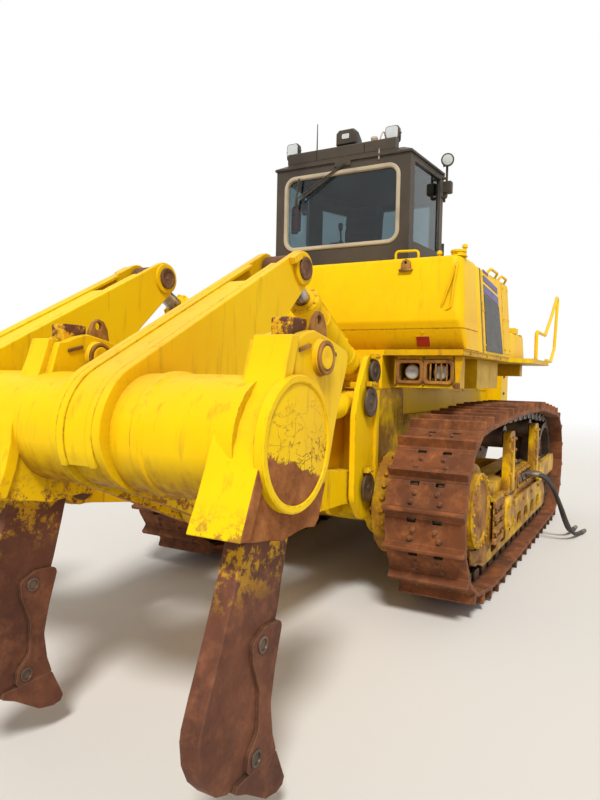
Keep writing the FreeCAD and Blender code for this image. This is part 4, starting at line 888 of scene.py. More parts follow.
caps = Shape()
discs = Shape()
pins = Shape()
for side in (-1, 1):
    way = Vector((0, side, 0))
    face = at(TUBE[0], side * (SPACING + 98), TUBE[1])
    caps.lathe(face, way, ((0, 0.276), (0.036, 0.276), (0.043, 0.270), (0.043, 0.248), (0.034, 0.242), (0.02, 0.24)), 72)
    discs.lathe(face, way, ((0.02, 0.243), (0.035, 0.243), (0.036, 0.238)), 72)
    for y, facing, raised in ((side * 710, side, 0.022), (side * 410, -side, 0.016)):
        toward = Vector((0, facing, 0))
        eye = at(TILT_EYE[0], y, TILT_EYE[1])
        caps.lathe(eye, toward, ((-0.01, 0.106), (raised - 0.004, 0.106), (raised, 0.102), (raised, 0.076)), 40)
        pins.lathe(eye, toward, ((0, 0.073), (raised + 0.012, 0.073), (raised + 0.016, 0.069), (raised + 0.016, 0.052), (raised + 0.010, 0.048), (raised + 0.010, 0.012), (raised + 0.014, 0.010)), 40)
        root = at(BEAM_PIN[0], y, BEAM_PIN[1])
        if facing == -side:
            pins.lathe(root, toward, ((0, 0.085), (0.018, 0.085), (0.022, 0.080)), 32)
    block = ((-1745, 2560), (-1650, 2612), (-1632, 2575), (-1727, 2523))
    low, high = sorted((side * 708, side * 745))
    caps.plate(block, low, high)
caps.done("beam_caps", "ripper_beam", "yellow_paint", "yellow_paint")
discs.done("beam_cap_faces", "ripper_beam", "cap_yellow", "yellow_paint")
pins.done("beam_pin_faces", "ripper_beam", "rust_pin", "rusty_steel")
for name in ("beam_tube", "beam_arms", "beam_holders", "beam_caps"):
    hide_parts("ripper_beam")

# Shanks: cast bars with rounded edges, a head above each holder, guard pins
SHANK = (
    (-2722, 2078), (-2728, 2084), (-2862, 2084), (-2870, 2076), (-2870, 1950), (-2965, 1830), (-3105, 1380),
    (-3162, 1245), (-3230, 1050), (-3312, 850), (-3378, 700), (-3418, 600), (-3425, 560), (-3415, 470),
    (-3380, 395), (-3320, 330), (-3255, 303), (-3090, 310), (-3040, 345), (-3022, 420), (-3024, 560),
    (-3008, 640), (-2965, 760), (-2918, 900), (-2870, 1080), (-2830, 1240), (-2662, 1895), (-2722, 1902),
)
GUARD_PINS = ((-3058, 795), (-3092, 362))
shank = Shape()
guard_pins = Shape()
for middle in (-SPACING, 0, SPACING):
    shank.plate(SHANK, middle - 45, middle + 45)
    for x, z in GUARD_PINS:
        for way in (-1, 1):
            spot = at(x, middle + way * 58, z)
            profile = ((0, 0.034), (0.008, 0.034), (0.011, 0.030), (0.011, 0.024), (0.005, 0.022))
            guard_pins.lathe(spot, Vector((0, way, 0)), profile, 24)
shank.done("shank_bars", "ripper_beam", "rusty_steel", "rusty_steel", 0.012)
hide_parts("shanks")
guard_pins.done("guard_pins", "ripper_beam", "grease", "rusty_steel")

# Cylinders: rod eyes, glands with their bolts, hose stubs
CYLINDERS = (
    # Name, base pin, eye, barrel radius and length, rod radius, eye half width and radius, eye look
    ("lift", LIFT_BASE, LIFT_EYE, 84, 1020, 48, 54, 83, "grease"),
    ("tilt", TILT_BASE, TILT_EYE, 92, 1000, 55, 97, 91, "rust_pin"),
)
for name, base, eye, barrel, length, bar, eye_half, eye_radius, look in CYLINDERS:
    reach = math.dist(base, eye)
    for side, label in ((-1, "right"), (1, "left")):
        foot = at(base[0], side * ARM_PLANE, base[1])
        tip = at(eye[0], side * ARM_PLANE, eye[1])
        way = (tip - foot).normalized()
        across = (Vector((0, 1, 0)), way.cross(Vector((0, 1, 0))))
        gland = Shape()
        big = barrel / 1000
        gland.lathe(
            foot + way * (length - 95) / 1000,
            way,
            ((0, big + 0.002), (0.006, big + 0.010), (0.03, big + 0.010), (0.034, big + 0.020), (0.078, big + 0.020),
             (0.082, big + 0.016), (0.098, bar / 1000 + 0.018), (0.1, bar / 1000 + 0.004)),
            40,
            across,
        )
        gland.bolts(foot + way * (length - 16) / 1000, way, big + 0.004, 10, 0.011, 0.016)
        for share in (0.22, 0.72):
            band = foot + way * share * length / 1000
            gland.lathe(band, way, ((0, big + 0.001), (0.002, big + 0.006), (0.03, big + 0.006), (0.032, big + 0.001)), 40)
        above = -across[1] if across[1].z < 0 else across[1]
        stub = foot + way * 0.30 + above * (big - 0.01)
        gland.lathe(stub, above, ((0, 0.036), (0.035, 0.036), (0.037, 0.03)), 20)
        end = foot + way * (length - 130) / 1000 + above * (big + 0.035)
        line = [stub + above * 0.03, stub + above * 0.055 + way * 0.03, end - way * 0.05 + above * 0.012, end, end - above * 0.05]
        gland.tube(line, 0.012, 10)
        gland.done("%s_gland_%s" % (name, label), "%s_barrel_%s" % (name, label), "yellow_paint", "yellow_paint")
        casting = Shape()
        half = eye_half / 1000
        round_eye = eye_radius / 1000
        neck = 0.075 if name == "lift" else 0.052
        casting.lathe(
            tip - Vector((0, half, 0)),
            Vector((0, 1, 0)),
            ((0, round_eye - 0.004), (0.005, round_eye), (2 * half - 0.005, round_eye), (2 * half, round_eye - 0.004)),
            40,
        )
        casting.lathe(
            tip - way * (round_eye + neck),
            way,
            ((0, bar / 1000 + 0.006), (0.016, bar / 1000 + 0.014), (neck + 0.025, round_eye * 0.86)),
            32,
            across,
        )
        casting.done("%s_eye_%s" % (name, label), "%s_rod_%s" % (name, label), look, "rusty_steel")

# Tank, side boxes and what stands on the deck

def level_ring(x, y, z, rear, front, steps=6):
    """A level outline with its rear and front corners rounded."""
    ring = []
    corners = (
        (x[1] - front, y[1] - front, front),
        (x[0] + rear, y[1] - rear, rear),
        (x[0] + rear, y[0] + rear, rear),
        (x[1] - front, y[0] + front, front),
    )
    for quarter, (middle_x, middle_y, radius) in enumerate(corners):
        for step in range(steps + 1):
            a = math.pi / 2 * (quarter + step / steps)
            ring.append(at(middle_x + radius * math.cos(a), middle_y + radius * math.sin(a), z))
    return ring


TANK_HALF = 1310
TANK_LEFT = 1150
TANK_FRONT = 621
TANK_FOOT = 2090.6
TANK_TOP = 2880
CREASE = 2330
LEAN = 60


def tank_rear(z):
    """The tank's rear face: it leans out up to the crease and in above it."""
    if z < CREASE:
        return 190 - 110 * (z - TANK_FOOT) / (CREASE - TANK_FOOT)
    return 80 + 70 * (z - CREASE) / (TANK_TOP - CREASE)


tank = Shape()
rings = []
TANK_LEVELS = (
    # height, set back from the faces, rear corner radius
    (TANK_FOOT, 8, 30), (2098, 0, 36), (2262, 0, 44), (2264, 5, 44), (2269, 5, 44), (2271, 0, 44),
    (2316, 2, 50), (CREASE, 3, 56), (2346, 1, 62), (2420, 0, 80), (2850, 0, 88), (2868, 4, 88), (2877, 12, 84),
    (TANK_TOP, 24, 76),
)
for z, back, corner in TANK_LEVELS:
    inward = LEAN * (z - TANK_FOOT) / (TANK_TOP - TANK_FOOT) + back
    x = (tank_rear(z) + back, TANK_FRONT - back)
    rings.append(level_ring(x, (inward - TANK_HALF, TANK_LEFT - inward), z, corner, 22))
tank.loft(rings)
for x, y in ((250, 112 - TANK_HALF), (250, TANK_LEFT - 190)):
    neck = at(x, y, TANK_TOP - 4)
    up = Vector((0, 0, 1))
    profile = ((0, 0.075), (0.010, 0.072), (0.012, 0.060), (0.034, 0.060), (0.036, 0.066), (0.052, 0.066), (0.056, 0.061))
    tank.lathe(neck, up, profile, 36)
    tank.block(at(x - 76, y - 10, TANK_TOP + 30), at(x - 52, y + 10, TANK_TOP + 46), 0.003)
for x, y, post, cap, high in ((230, 270 - TANK_HALF, 14, 23, 60), (470, 118 - TANK_HALF, 15, 24, 150), (330, 232 - TANK_HALF, 11, 15, 34)):
    foot = at(x, y, TANK_TOP - 4)
    p, c, h = post / 1000, cap / 1000, high / 1000
    profile = ((0, p + 0.008), (0.006, p + 0.008), (0.008, p), (h - 0.035, p), (h - 0.033, c), (h - 0.012, c), (h - 0.006, c - 0.004), (h, c * 0.5))
    tank.lathe(foot, Vector((0, 0, 1)), profile, 24)
tank.tube([at(205, -655, 2870), at(205, -655, 2954), at(205, -862, 2946), at(205, -862, 2868)], 0.011, 12, 7)
for y in (-655, -862):
    tank.lathe(at(205, y, 2876), Vector((0, 0, 1)), ((0, 0.026), (0.008, 0.026), (0.010, 0.014)), 18)
guards = (
    ((150, -1212, 2802), (104, -1218, 2786), (98, -1186, 2660), (94, -1128, 2500), (96, -1110, 2440), (128, -1108, 2432)),
    ((155, -1222, 2806), (96, -1232, 2780), (90, -1206, 2600), (88, -1190, 2440), (92, -1150, 2416), (122, -1110, 2412)),
)
for line in guards:
    tank.tube([at(*spot) for spot in line], 0.010, 10, 5)
tank = tank.done("tank_shell", "tractor", "yellow_paint", "yellow_paint")
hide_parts("fuel_tank")

lug = Shape()
outer = [(-822, 2776), (-734, 2776), (-738, 2830), (-752, 2858), (-778, 2868), (-804, 2858), (-818, 2830), (-821, 2800)]
hole = [(-778 + 13 * math.cos(a), 2836 + 13 * math.sin(a)) for a in [math.radians(235 + 45 * k) for k in range(8)]]
lug.loft([[at(x, y, z) for y, z in line] for line, x in ((outer, 118), (outer, 148), (hole, 148), (hole, 118))], closed=True)
lug.block(at(104, -838, 2764), at(150, -718, 2780), 0.004)
lug.done("tank_lug", "tractor", "rust_trim", "yellow_paint", 0.003)
slope = Vector((-0.909, 0, -0.417))


def on_rear(y, z, off):
    """A place off the tank's rear face below the crease."""
    return at(tank_rear(z), y, z) + slope * off


reflector = Shape()
reflector.prism([on_rear(y, z, 0.0) for y, z in ((-1000, 2120), (-884, 2120), (-884, 2204), (-1000, 2204))], slope * 0.008)
reflector.done("tank_reflector", "tractor", "signal_red", "yellow_paint", 0.003)
bezel = Shape()
bezel.prism([on_rear(y, z, 0.0) for y, z in ((-1006, 2114), (-878, 2114), (-878, 2210), (-1006, 2210))], slope * 0.004)
for y in (-940, 500):
    for z in (2235,):
        bezel.bolt(on_rear(y, z, 0.0), slope, 0.009, 0.008)
bezel.done("tank_bezel", "tractor", "yellow_paint", "yellow_paint")

BOX_TOP = 2870
BOX_X = (622, 2040)
BOX_IN = 880
STEP_X = (2040, 2935)
STEP_TOP = 2380


def box_side(z):
    """The side box's outboard face leans in as the tank's end does."""
    return TANK_HALF - LEAN * (z - TANK_FOOT) / (TANK_TOP - TANK_FOOT)


for side, label in ((-1, "right"), (1, "left")):
    box = Shape()
    for x, inner, top, radius in ((BOX_X, BOX_IN, BOX_TOP, 26), (STEP_X, 930, STEP_TOP, 22)):
        rings = []
        for z, back in ((TANK_FOOT, 0), (top - 24, 0), (top - 8, 5), (top - 1, 15), (top, 26)):
            outer = box_side(z) - (20 if x is STEP_X else 0)
            y = sorted((side * (inner + back), side * (outer - back)))
            rings.append(level_ring((x[0] + back, x[1] - back), y, z, radius, radius, 5))
        box.loft(rings)

    def on_side(x, z, off):
        return at(x, side * (box_side(z) + off), z)

    def panel(shape, corners, low, high):
        """A plate on the box's leaning outboard face."""
        shape.loft([[on_side(x, z, off) for x, z in corners] for off in (low, high)])

    panel(box, ((790, 2120), (850, 2120), (850, 2842), (790, 2842)), 0, 5)
    panel(box, ((1672, 2120), (1968, 2120), (1968, 2842), (1672, 2842)), 0, 5)
    for x in (820, 1710, 1930):
        for z in (2160, 2480, 2800):
            box.bolt(on_side(x, z, 5), Vector((0, side, 0.076)), 0.009, 0.009)
    for x0, x1 in ((1140, 1480), (1620, 1910)):
        line = ((x0, 1225, 2862), (x0 + 12, 1262, 2914), (x1 - 12, 1262, 2914), (x1, 1225, 2862))
        box.tube([at(x, side * y, z) for x, y, z in line], 0.013, 12, 6)
        y = sorted((side * 1215, side * 1140))
        box.block(at(x0 + 40, y[0], 2868), at(x1 - 40, y[1], 2880), 0.006)
    for x in (1150, 1850):
        y = sorted((side * 1120, side * 1000))
        box.block(at(x - 60, y[0], 2868), at(x + 60, y[1], 2886), 0.008)
    for x in (2120, 2450, 2780):
        y = sorted((side * 1270, side * 960))
        box.block(at(x - 90, y[0], STEP_TOP - 2), at(x + 90, y[1], STEP_TOP + 5), 0.005)
    box = box.done("side_box_body_" + label, "tractor", "yellow_paint", "yellow_paint")
    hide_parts("side_box_" + label)
    dark = Shape()
    panel(dark, ((880, 2112), (1600, 2112), (1500, 2590), (880, 2640)), 0, 7)
    dark.done("side_panel_" + label, "tractor", "panel_dark", "black_plastic", 0.002)
    bars = Shape()
    for low, high, reach, drop in ((2652, 2730, 1490, 52), (2762, 2818, 1470, 50), (2846, 2869, 1080, 14)):
        panel(bars, ((880, low), (reach, low - drop), (reach, high - drop), (880, high)), 0, 5)
    bars.done("side_stripes_" + label, "tractor", "stripe_blue", "yellow_paint", 0.001)
    trim = Shape()
    rings = []
    for z in (TANK_FOOT + 2, BOX_TOP - 12):
        y = sorted((side * (box_side(z) + 3), side * (box_side(z) - 20)))
        rings.append([at(x, w, z) for x, w in ((742, y[0]), (768, y[0]), (768, y[1]), (742, y[1]))])
    trim.loft(rings)
    trim.done("box_trim_" + label, "tractor", "black_plastic", "black_plastic")
    edge = Shape()
    for x in (300, 900, 1500):
        edge.bolt(at(x, side * 1308, 2065), Vector((0, side, 0)), 0.012, 0.010)
    edge.plate(((80, 2042), (1895, 2042), (1895, 2050), (80, 2050)), *sorted((side * 1306, side * 1316)))
    edge.plate(((80, 2080), (1895, 2080), (1895, 2088), (80, 2088)), *sorted((side * 1306, side * 1316)))
    for x in (2450, 2750, 3050, 3350):
        y = sorted((side * 1330, side * 1480))
        for y_bar in range(y[0], y[1], 30):
            edge.block(at(x - 110, y_bar, 2089), at(x + 110, y_bar + 8, 2096), 0.002)
    edge.done("deck_trim_" + label, "tractor", "dirty_yellow", "yellow_paint")

# Under the tank: rims, bars and work lamps in the two openings on each side
RIM_X = 130
OPENINGS = ((730, 945), (975, 1210))
OPENING_Z = (1810, 1990)
for side, label in ((-1, "right"), (1, "left")):
    rims = Shape()
    lamp_frame = Shape()
    inner_parts = Shape()
    lamp = Shape()
    for number, (low, high) in enumerate(OPENINGS):
        middle = ((low + high) / 2, sum(OPENING_Z) / 2)
        half = ((high - low) / 2, (OPENING_Z[1] - OPENING_Z[0]) / 2)

        def rounded(grow, radius, x):
            points = []
            for quarter, (u, v) in enumerate(((1, 1), (-1, 1), (-1, -1), (1, -1))):
                for step in range(6):
                    a = math.pi / 2 * (quarter + step / 5)
                    y = middle[0] + u * (half[0] + grow - radius) + radius * math.cos(a)
                    z = middle[1] + v * (half[1] + grow - radius) + radius * math.sin(a)
                    points.append(at(x, side * y, z))
            return points

        loops = [rounded(16, 42, RIM_X), rounded(16, 42, RIM_X - 14), rounded(8, 36, RIM_X - 20), rounded(-14, 30, RIM_X - 16), rounded(-16, 28, RIM_X + 6)]
        rims.loft(loops, closed=True)
        if number == 1:
            for step in range(4):
                y = side * (low + (high - low) * (step + 1) / 5)
                rims.tube([at(RIM_X + 4, y, OPENING_Z[0] - 4), at(RIM_X - 6, y, OPENING_Z[0] + 22), at(RIM_X - 6, y, OPENING_Z[1] - 22), at(RIM_X + 4, y, OPENING_Z[1] + 4)], 0.008, 10)
        inner_parts.lathe(at(RIM_X + 150, side * middle[0], middle[1]), Vector((-1, 0, 0)), ((0, 0.062), (0.02, 0.066), (0.085, 0.07), (0.09, 0.062)), 28)
        lamp.lathe(at(RIM_X + 62, side * middle[0], middle[1]), Vector((-1, 0, 0)), ((0, 0.060), (0.004, 0.058), (0.010, 0.035)), 28)
        inner_parts.block(at(RIM_X + 90, side * middle[0] - 90, 1812), at(RIM_X + 230, side * middle[0] + 90, 1850), 0.006)
    for y, z in ((712, 1790), (960, 1790), (1226, 1790), (712, 2015), (960, 2015), (1226, 2015)):
        rims.bolt(at(RIM_X, side * y, z), Vector((-1, 0, 0)), 0.010, 0.009)
    wedge = [at(RIM_X - 12, side * y, z) for y, z in ((1225, 2039), (1300, 2039), (1300, 2020), (1262, 1775), (1240, 1775))]
    lamp_frame.prism(wedge, Vector((0.012, 0, 0)))
    rims.block(at(RIM_X - 26, min(side * 1235, side * 1275), 1764), at(RIM_X + 10, max(side * 1235, side * 1275), 1812), 0.005)
    lamp_frame.done("lamp_wedges_" + label, "tractor", "dirty_yellow", "yellow_paint", 0.001)
    rims.done("lamp_rims_" + label, "tractor", "rust_trim", "yellow_paint", 0.002)
    inner_parts.done("work_lamp_bodies_" + label, "tractor", "dirty_yellow", "yellow_paint", 0.003)
    lamp.done("work_lamp_lenses_" + label, "tractor", "lens", "glass")

# Cab: window seal, wiper, roof bar, lamps, aerial, extinguisher, mirrors and handles
CAB_REAR = 400


def rounded_wall(half, low, high, radius, x, steps=7):
    """A rounded outline in a plane across the machine."""
    points = []
    corners = ((half - radius, high - radius), (radius - half, high - radius), (radius - half, low + radius), (half - radius, low + radius))
    for quarter, (y, z) in enumerate(corners):
        for step in range(steps + 1):
            a = math.pi / 2 * (quarter + step / steps)
            points.append(at(x, y + radius * math.cos(a), z + radius * math.sin(a)))
    return points


seal = Shape()
SEAL = (
    # grow outward, distance behind the wall
    (22, 0), (21, 8), (14, 14), (0, 15), (-12, 12), (-17, 4), (-18, -22), (-6, -24),
)
seal.loft([rounded_wall(585 + grow, 3095 - grow, 3785 + grow, 96 + grow, CAB_REAR - off) for grow, off in SEAL], closed=True)
seal.done("window_seal", "tractor", "seal_beige", "black_plastic")

fittings = Shape()
fittings.block(at(392, -560, 3902), at(470, 575, 3930), 0.01)
for low, high in ((-556, -250), (-244, 250), (256, 571)):
    rings = []
    for x, z0, z1 in ((388, 3932, 4022), (394, 3926, 4030), (462, 3926, 4036), (470, 3932, 4028)):
        rings.append([at(x, y, z) for y, z in ((low, z0), (high, z0), (high, z1), (low, z1))])
    fittings.loft(rings)
wiper_pivot = (388, -54, 3862)
fittings.block(at(384, -110, 3838), at(402, 60, 3886), 0.006)
for off in (-12, 12):
    fittings.tube([at(380, wiper_pivot[1] + off, wiper_pivot[2]), at(374, 436 + off, 3573 + off)], 0.006, 8)
fittings.tube([at(376, 434, 3777), at(376, 474, 3500)], 0.009, 8)
fittings.block(at(374, 448, 3560), at(388, 474, 3590), 0.003)
fittings.lathe(at(600, 360, 3968), Vector((0, 0, 1)), ((0, 0.024), (0.01, 0.024), (0.03, 0.012), (0.05, 0.008), (0.4, 0.004)), 14)
LAMPS = ((505, 590, 4048, 130), (505, -470, 4050, 130))
lenses = Shape()
for x, y, foot, width in LAMPS:
    half = width / 2
    sections = ((0, 1.0), (8, 1.04), (60, 1.0), (95, 0.72), (110, 0.55))
    rings = []
    for back, share in sections:
        h = half * share
        r = h * 0.42
        ring = []
        for quarter, (u, v) in enumerate(((1, 1), (-1, 1), (-1, -1), (1, -1))):
            for step in range(5):
                a = math.pi / 2 * (quarter + step / 4)
                ring.append(at(x + back, y + u * (h - r) + r * math.cos(a), foot + half + v * (h - r) + r * math.sin(a)))
        rings.append(ring)
    fittings.loft(rings)
    lens = [[point + (at(x, y, foot + half) - point) * 0.10 + Vector((off, 0, 0)) for point in rings[0]] for off in (-0.004, 0.003)]
    lenses.loft(lens)
    for way in (-1, 1):
        strap = ((x + 30, y + way * (half + 8), foot + half), (x + 30, y + way * (half + 8), foot - 22), (x + 30, y, foot - 26))
        fittings.tube([at(*spot) for spot in strap], 0.007, 8, 4)
        fittings.bolt(at(x + 30, y + way * (half + 6), foot + half), Vector((0, way, 0)), 0.009, 0.010)
    fittings.lathe(at(x + 30, y, 3960), Vector((0, 0, 1)), ((0, 0.03), (0.012, 0.03), (0.014, 0.016), ((foot - 3982) / 1000, 0.016)), 14)
cable = ((520, -430, 4030), (430, -420, 4120), (400, -400, 4050), (392, -395, 3900), (392, -395, 3850))
pale = Shape()
pale.tube([at(*spot) for spot in cable], 0.007, 8, 6)
pale.lathe(at(430, -330, 4040), Vector((-0.2, 0, 1)), ((0, 0.03), (0.02, 0.034), (0.035, 0.026), (0.04, 0.01)), 18)
pale.done("cab_cable", "tractor", "seal_beige", "black_plastic")
housing = []
for back, wide, low, high, cut in ((0, 96, 4092, 4216, 26), (10, 104, 4086, 4226, 30), (60, 108, 4082, 4230, 30), (160, 100, 4084, 4180, 26), (210, 80, 4086, 4130, 16)):
    y = wide
    ring = [(-y, low), (y, low), (y, high - cut), (y - cut, high), (cut - y, high), (-y, high - cut)]
    housing.append([at(500 + back, w, z) for w, z in ring])
fittings.loft(housing)
fittings.block(at(560, -30, 3965), at(640, 30, 4090), 0.006)
lenses.loft([[at(x, w * 1.0, z) for w, z in ((-32, 4134), (32, 4134), (38, 4146), (38, 4168), (32, 4180), (-32, 4180), (-38, 4168), (-38, 4146))] for x in (494, 501)])
for side in (-1, 1):
    pole = ((1140, 772, 3640), (1140, 812, 3640), (1140, 812, 3700), (1140, 812, 3955))
    fittings.tube([at(x, side * y, z) for x, y, z in pole], 0.012, 12)
    for height in (3640, 3820):
        y = sorted((side * 762, side * 812))
        fittings.block(at(1128, y[0], height), at(1152, y[1], height + 20), 0.003)
    way = Vector((-1, side * 0.25, -0.12)).normalized()
    spot = at(1175, side * 808, 4005)
    fittings.lathe(spot, way, ((0, 0.022), (0.02, 0.05), (0.06, 0.062), (0.085, 0.064), (0.09, 0.060)), 32)
    lenses.lathe(spot + way * 0.082, way, ((0, 0.058), (0.006, 0.056), (0.014, 0.030)), 32)
    rings = []
    for z, back in ((3682, 8), (3690, 0), (3792, 0), (3800, 8)):
        y = sorted((side * (776 + back), side * (864 - back)))
        rings.append(level_ring((1118 + back, 1190 - back), y, z, 12, 12, 3))
    fittings.loft(rings)
    fittings.tube([at(1150, side * 770, 3955), at(1150, side * 808, 3965), at(1150, side * 808, 4000)], 0.010, 10)
fittings = fittings.done("cab_fittings", "tractor", "charcoal_paint", "black_plastic", 0.002)
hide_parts("cab_lamps")
lenses.done("cab_lenses", "tractor", "lens", "glass")

inside = Shape()
inside.lathe(at(505, 530, 3300), Vector((0, 0, 1)), ((0, 0.040), (0.01, 0.048), (0.22, 0.048), (0.245, 0.032), (0.26, 0.016)), 28)
inside.done("extinguisher", "tractor", "signal_red", "black_plastic")
levers = Shape()
levers.lathe(at(505, 530, 3556), Vector((0, 0, 1)), ((0, 0.018), (0.02, 0.018), (0.025, 0.01), (0.045, 0.01)), 12)
levers.block(at(456, 500, 3270), at(500, 560, 3300), 0.005)
levers.block(at(456, 505, 3440), at(462, 555, 3470), 0.003)
for x, y, foot, high, lean in ((1180, 350, 3280, 230, -0.1), (1480, 340, 3280, 190, 0.25), (1750, 120, 3250, 210, -0.35), (1750, -120, 3250, 210, -0.35)):
    spot = at(x, y, foot)
    way = Vector((lean, 0, 1)).normalized()
    h = high / 1000
    profile = ((0, 0.034), (0.03, 0.026), (0.045, 0.009), (h - 0.09, 0.009), (h - 0.085, 0.020), (h - 0.03, 0.026), (h - 0.005, 0.020), (h, 0.01))
    levers.lathe(spot, way, profile, 18)
levers.block(at(1690, -260, 3246), at(1900, 260, 3262), 0.014)
levers.block(at(1860, -180, 3258), at(1930, 180, 3400), 0.012)
levers.done("cab_controls", "tractor", "black_plastic", "black_plastic", 0.003)

# Seat: crowned pads with piping, sewn channels and side bolsters

PAD_SWELL = 0.012


def swollen(made):
    """The pad after its cloth is blown up a little, no point moving further than the cap."""
    even = made.modifiers.new("even", "REMESH")
    even.mode = "VOXEL"
    even.voxel_size = 0.006
    scene = bpy.context.scene
    scene.frame_set(1)
    graph = bpy.context.evaluated_depsgraph_get()
    start = bpy.data.meshes.new_from_object(made.evaluated_get(graph))
    made.modifiers.clear()
    made.data = start
    before = [vertex.co.copy() for vertex in start.vertices]
    blown = made.modifiers.new("blown", "CLOTH")
    blown.settings.use_pressure = True
    blown.settings.uniform_pressure_force = 4
    blown.settings.effector_weights.gravity = 0
    for frame_number in range(1, 21):
        scene.frame_set(frame_number)
    graph = bpy.context.evaluated_depsgraph_get()
    after = made.evaluated_get(graph).to_mesh()
    spots = [vertex.co.copy() for vertex in after.vertices]
    made.evaluated_get(graph).to_mesh_clear()
    made.modifiers.clear()
    scene.frame_set(1)
    for vertex, old, new in zip(start.vertices, before, spots):
        step = new - old
        vertex.co = old + step * min(1.0, PAD_SWELL / max(step.length, 1e-6))


def pad(name, middle, size, crown, lean=0.0, bolster=0.12):
    """A padded block: crowned, blown up as cloth, then sewn with channels and a seam round its side."""
    bm = bmesh.new()
    bmesh.ops.create_cube(bm, size=1.0)
    bmesh.ops.subdivide_edges(bm, edges=bm.edges, cuts=15, use_grid_fill=True)
    half = Vector(size) / 2
    for vertex in bm.verts:
        u, v, w = (2 * c for c in vertex.co)
        round_off = 1 - 0.10 * (abs(u) ** 6 * abs(v) ** 6 + abs(v) ** 6 * abs(w) ** 6 + abs(u) ** 6 * abs(w) ** 6)
        face_u = (1 - u * u) * (1 - v * v)
        spot = Vector((u * half.x, v * half.y, w * half.z)) * round_off
        spot.x *= 1 - 0.05 * (1 - abs(w)) * 0 - 0.035 * abs(v) ** 4 * (1 - w * w)
        if w > 0.98:
            side = bolster * half.x * max(0, (abs(v) - 0.62) / 0.38) * (1 - u * u) ** 0.5
            spot.z += crown * face_u + side
        elif w < -0.98:
            spot.z -= crown * 0.15 * face_u
        vertex.co = spot
    bmesh.ops.recalc_face_normals(bm, faces=bm.faces)
    mesh = bpy.data.meshes.new(name)
    bm.to_mesh(mesh)
    bm.free()
    made = bpy.data.objects.new(name, mesh)
    bpy.context.scene.collection.objects.link(made)
    swollen(made)
    mesh = made.data
    turn = Matrix.Rotation(lean, 3, "Y")
    for vertex in mesh.vertices:
        spot = vertex.co.copy()
        u = spot.x / half.x
        v = spot.y / half.y
        if spot.z > half.z * 0.4 and abs(v) < 0.64:
            spot.z -= sum(0.007 * math.exp(-((u - c) / 0.032) ** 2) for c in (-0.42, 0.0, 0.42))
        if spot.z > half.z * 0.4 and abs(u) < 0.9:
            spot.z -= 0.006 * math.exp(-((abs(v) - 0.66) / 0.03) ** 2)
        around = math.exp(-((spot.z + half.z * 0.1) / 0.005) ** 2)
        spot.x *= 1 - 0.018 * around
        spot.y *= 1 - 0.018 * around
        vertex.co = turn @ spot + middle
    mesh.shade_smooth()
    made.modifiers.new("smooth", "SUBSURF").levels = 1
    mesh.materials.append(LOOK["seat_cloth"])
    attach(made, "tractor")
    return made


low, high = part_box("seat")
width = (high.y - low.y) * 0.94
cushion = pad("seat_cushion", at(1225, 0, 3120), (0.43, width, 0.115), 0.018, 0.0)
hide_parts("seat")
back_rest = pad("seat_back", at(1000, 0, 3390), (0.46, width * 0.95, 0.10), 0.016, math.radians(97) - math.pi)
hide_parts("seat")
base = Shape()
base.block(at(1040, -180, 2946), at(1410, 180, 2968), 0.02)
base.block(at(1100, -140, 2960), at(1350, 140, 3050), 0.014)
base.block(at(1030, -200, 3040), at(1430, 200, 3068), 0.018)
for side in (-1, 1):
    y = sorted((side * 205, side * 222))
    base.plate(((985, 3055), (1080, 3055), (1060, 3160), (1010, 3220), (975, 3200)), *y)
base = base.done("seat_base", "tractor", "black_plastic", "black_plastic", 0.006)

# Undercarriage sides: hub covers, bolted bars, recesses, flange bolts

def mirrored(side, low, high):
    """The two limits of a band on one side, in rising order."""
    return sorted((side * low, side * high))


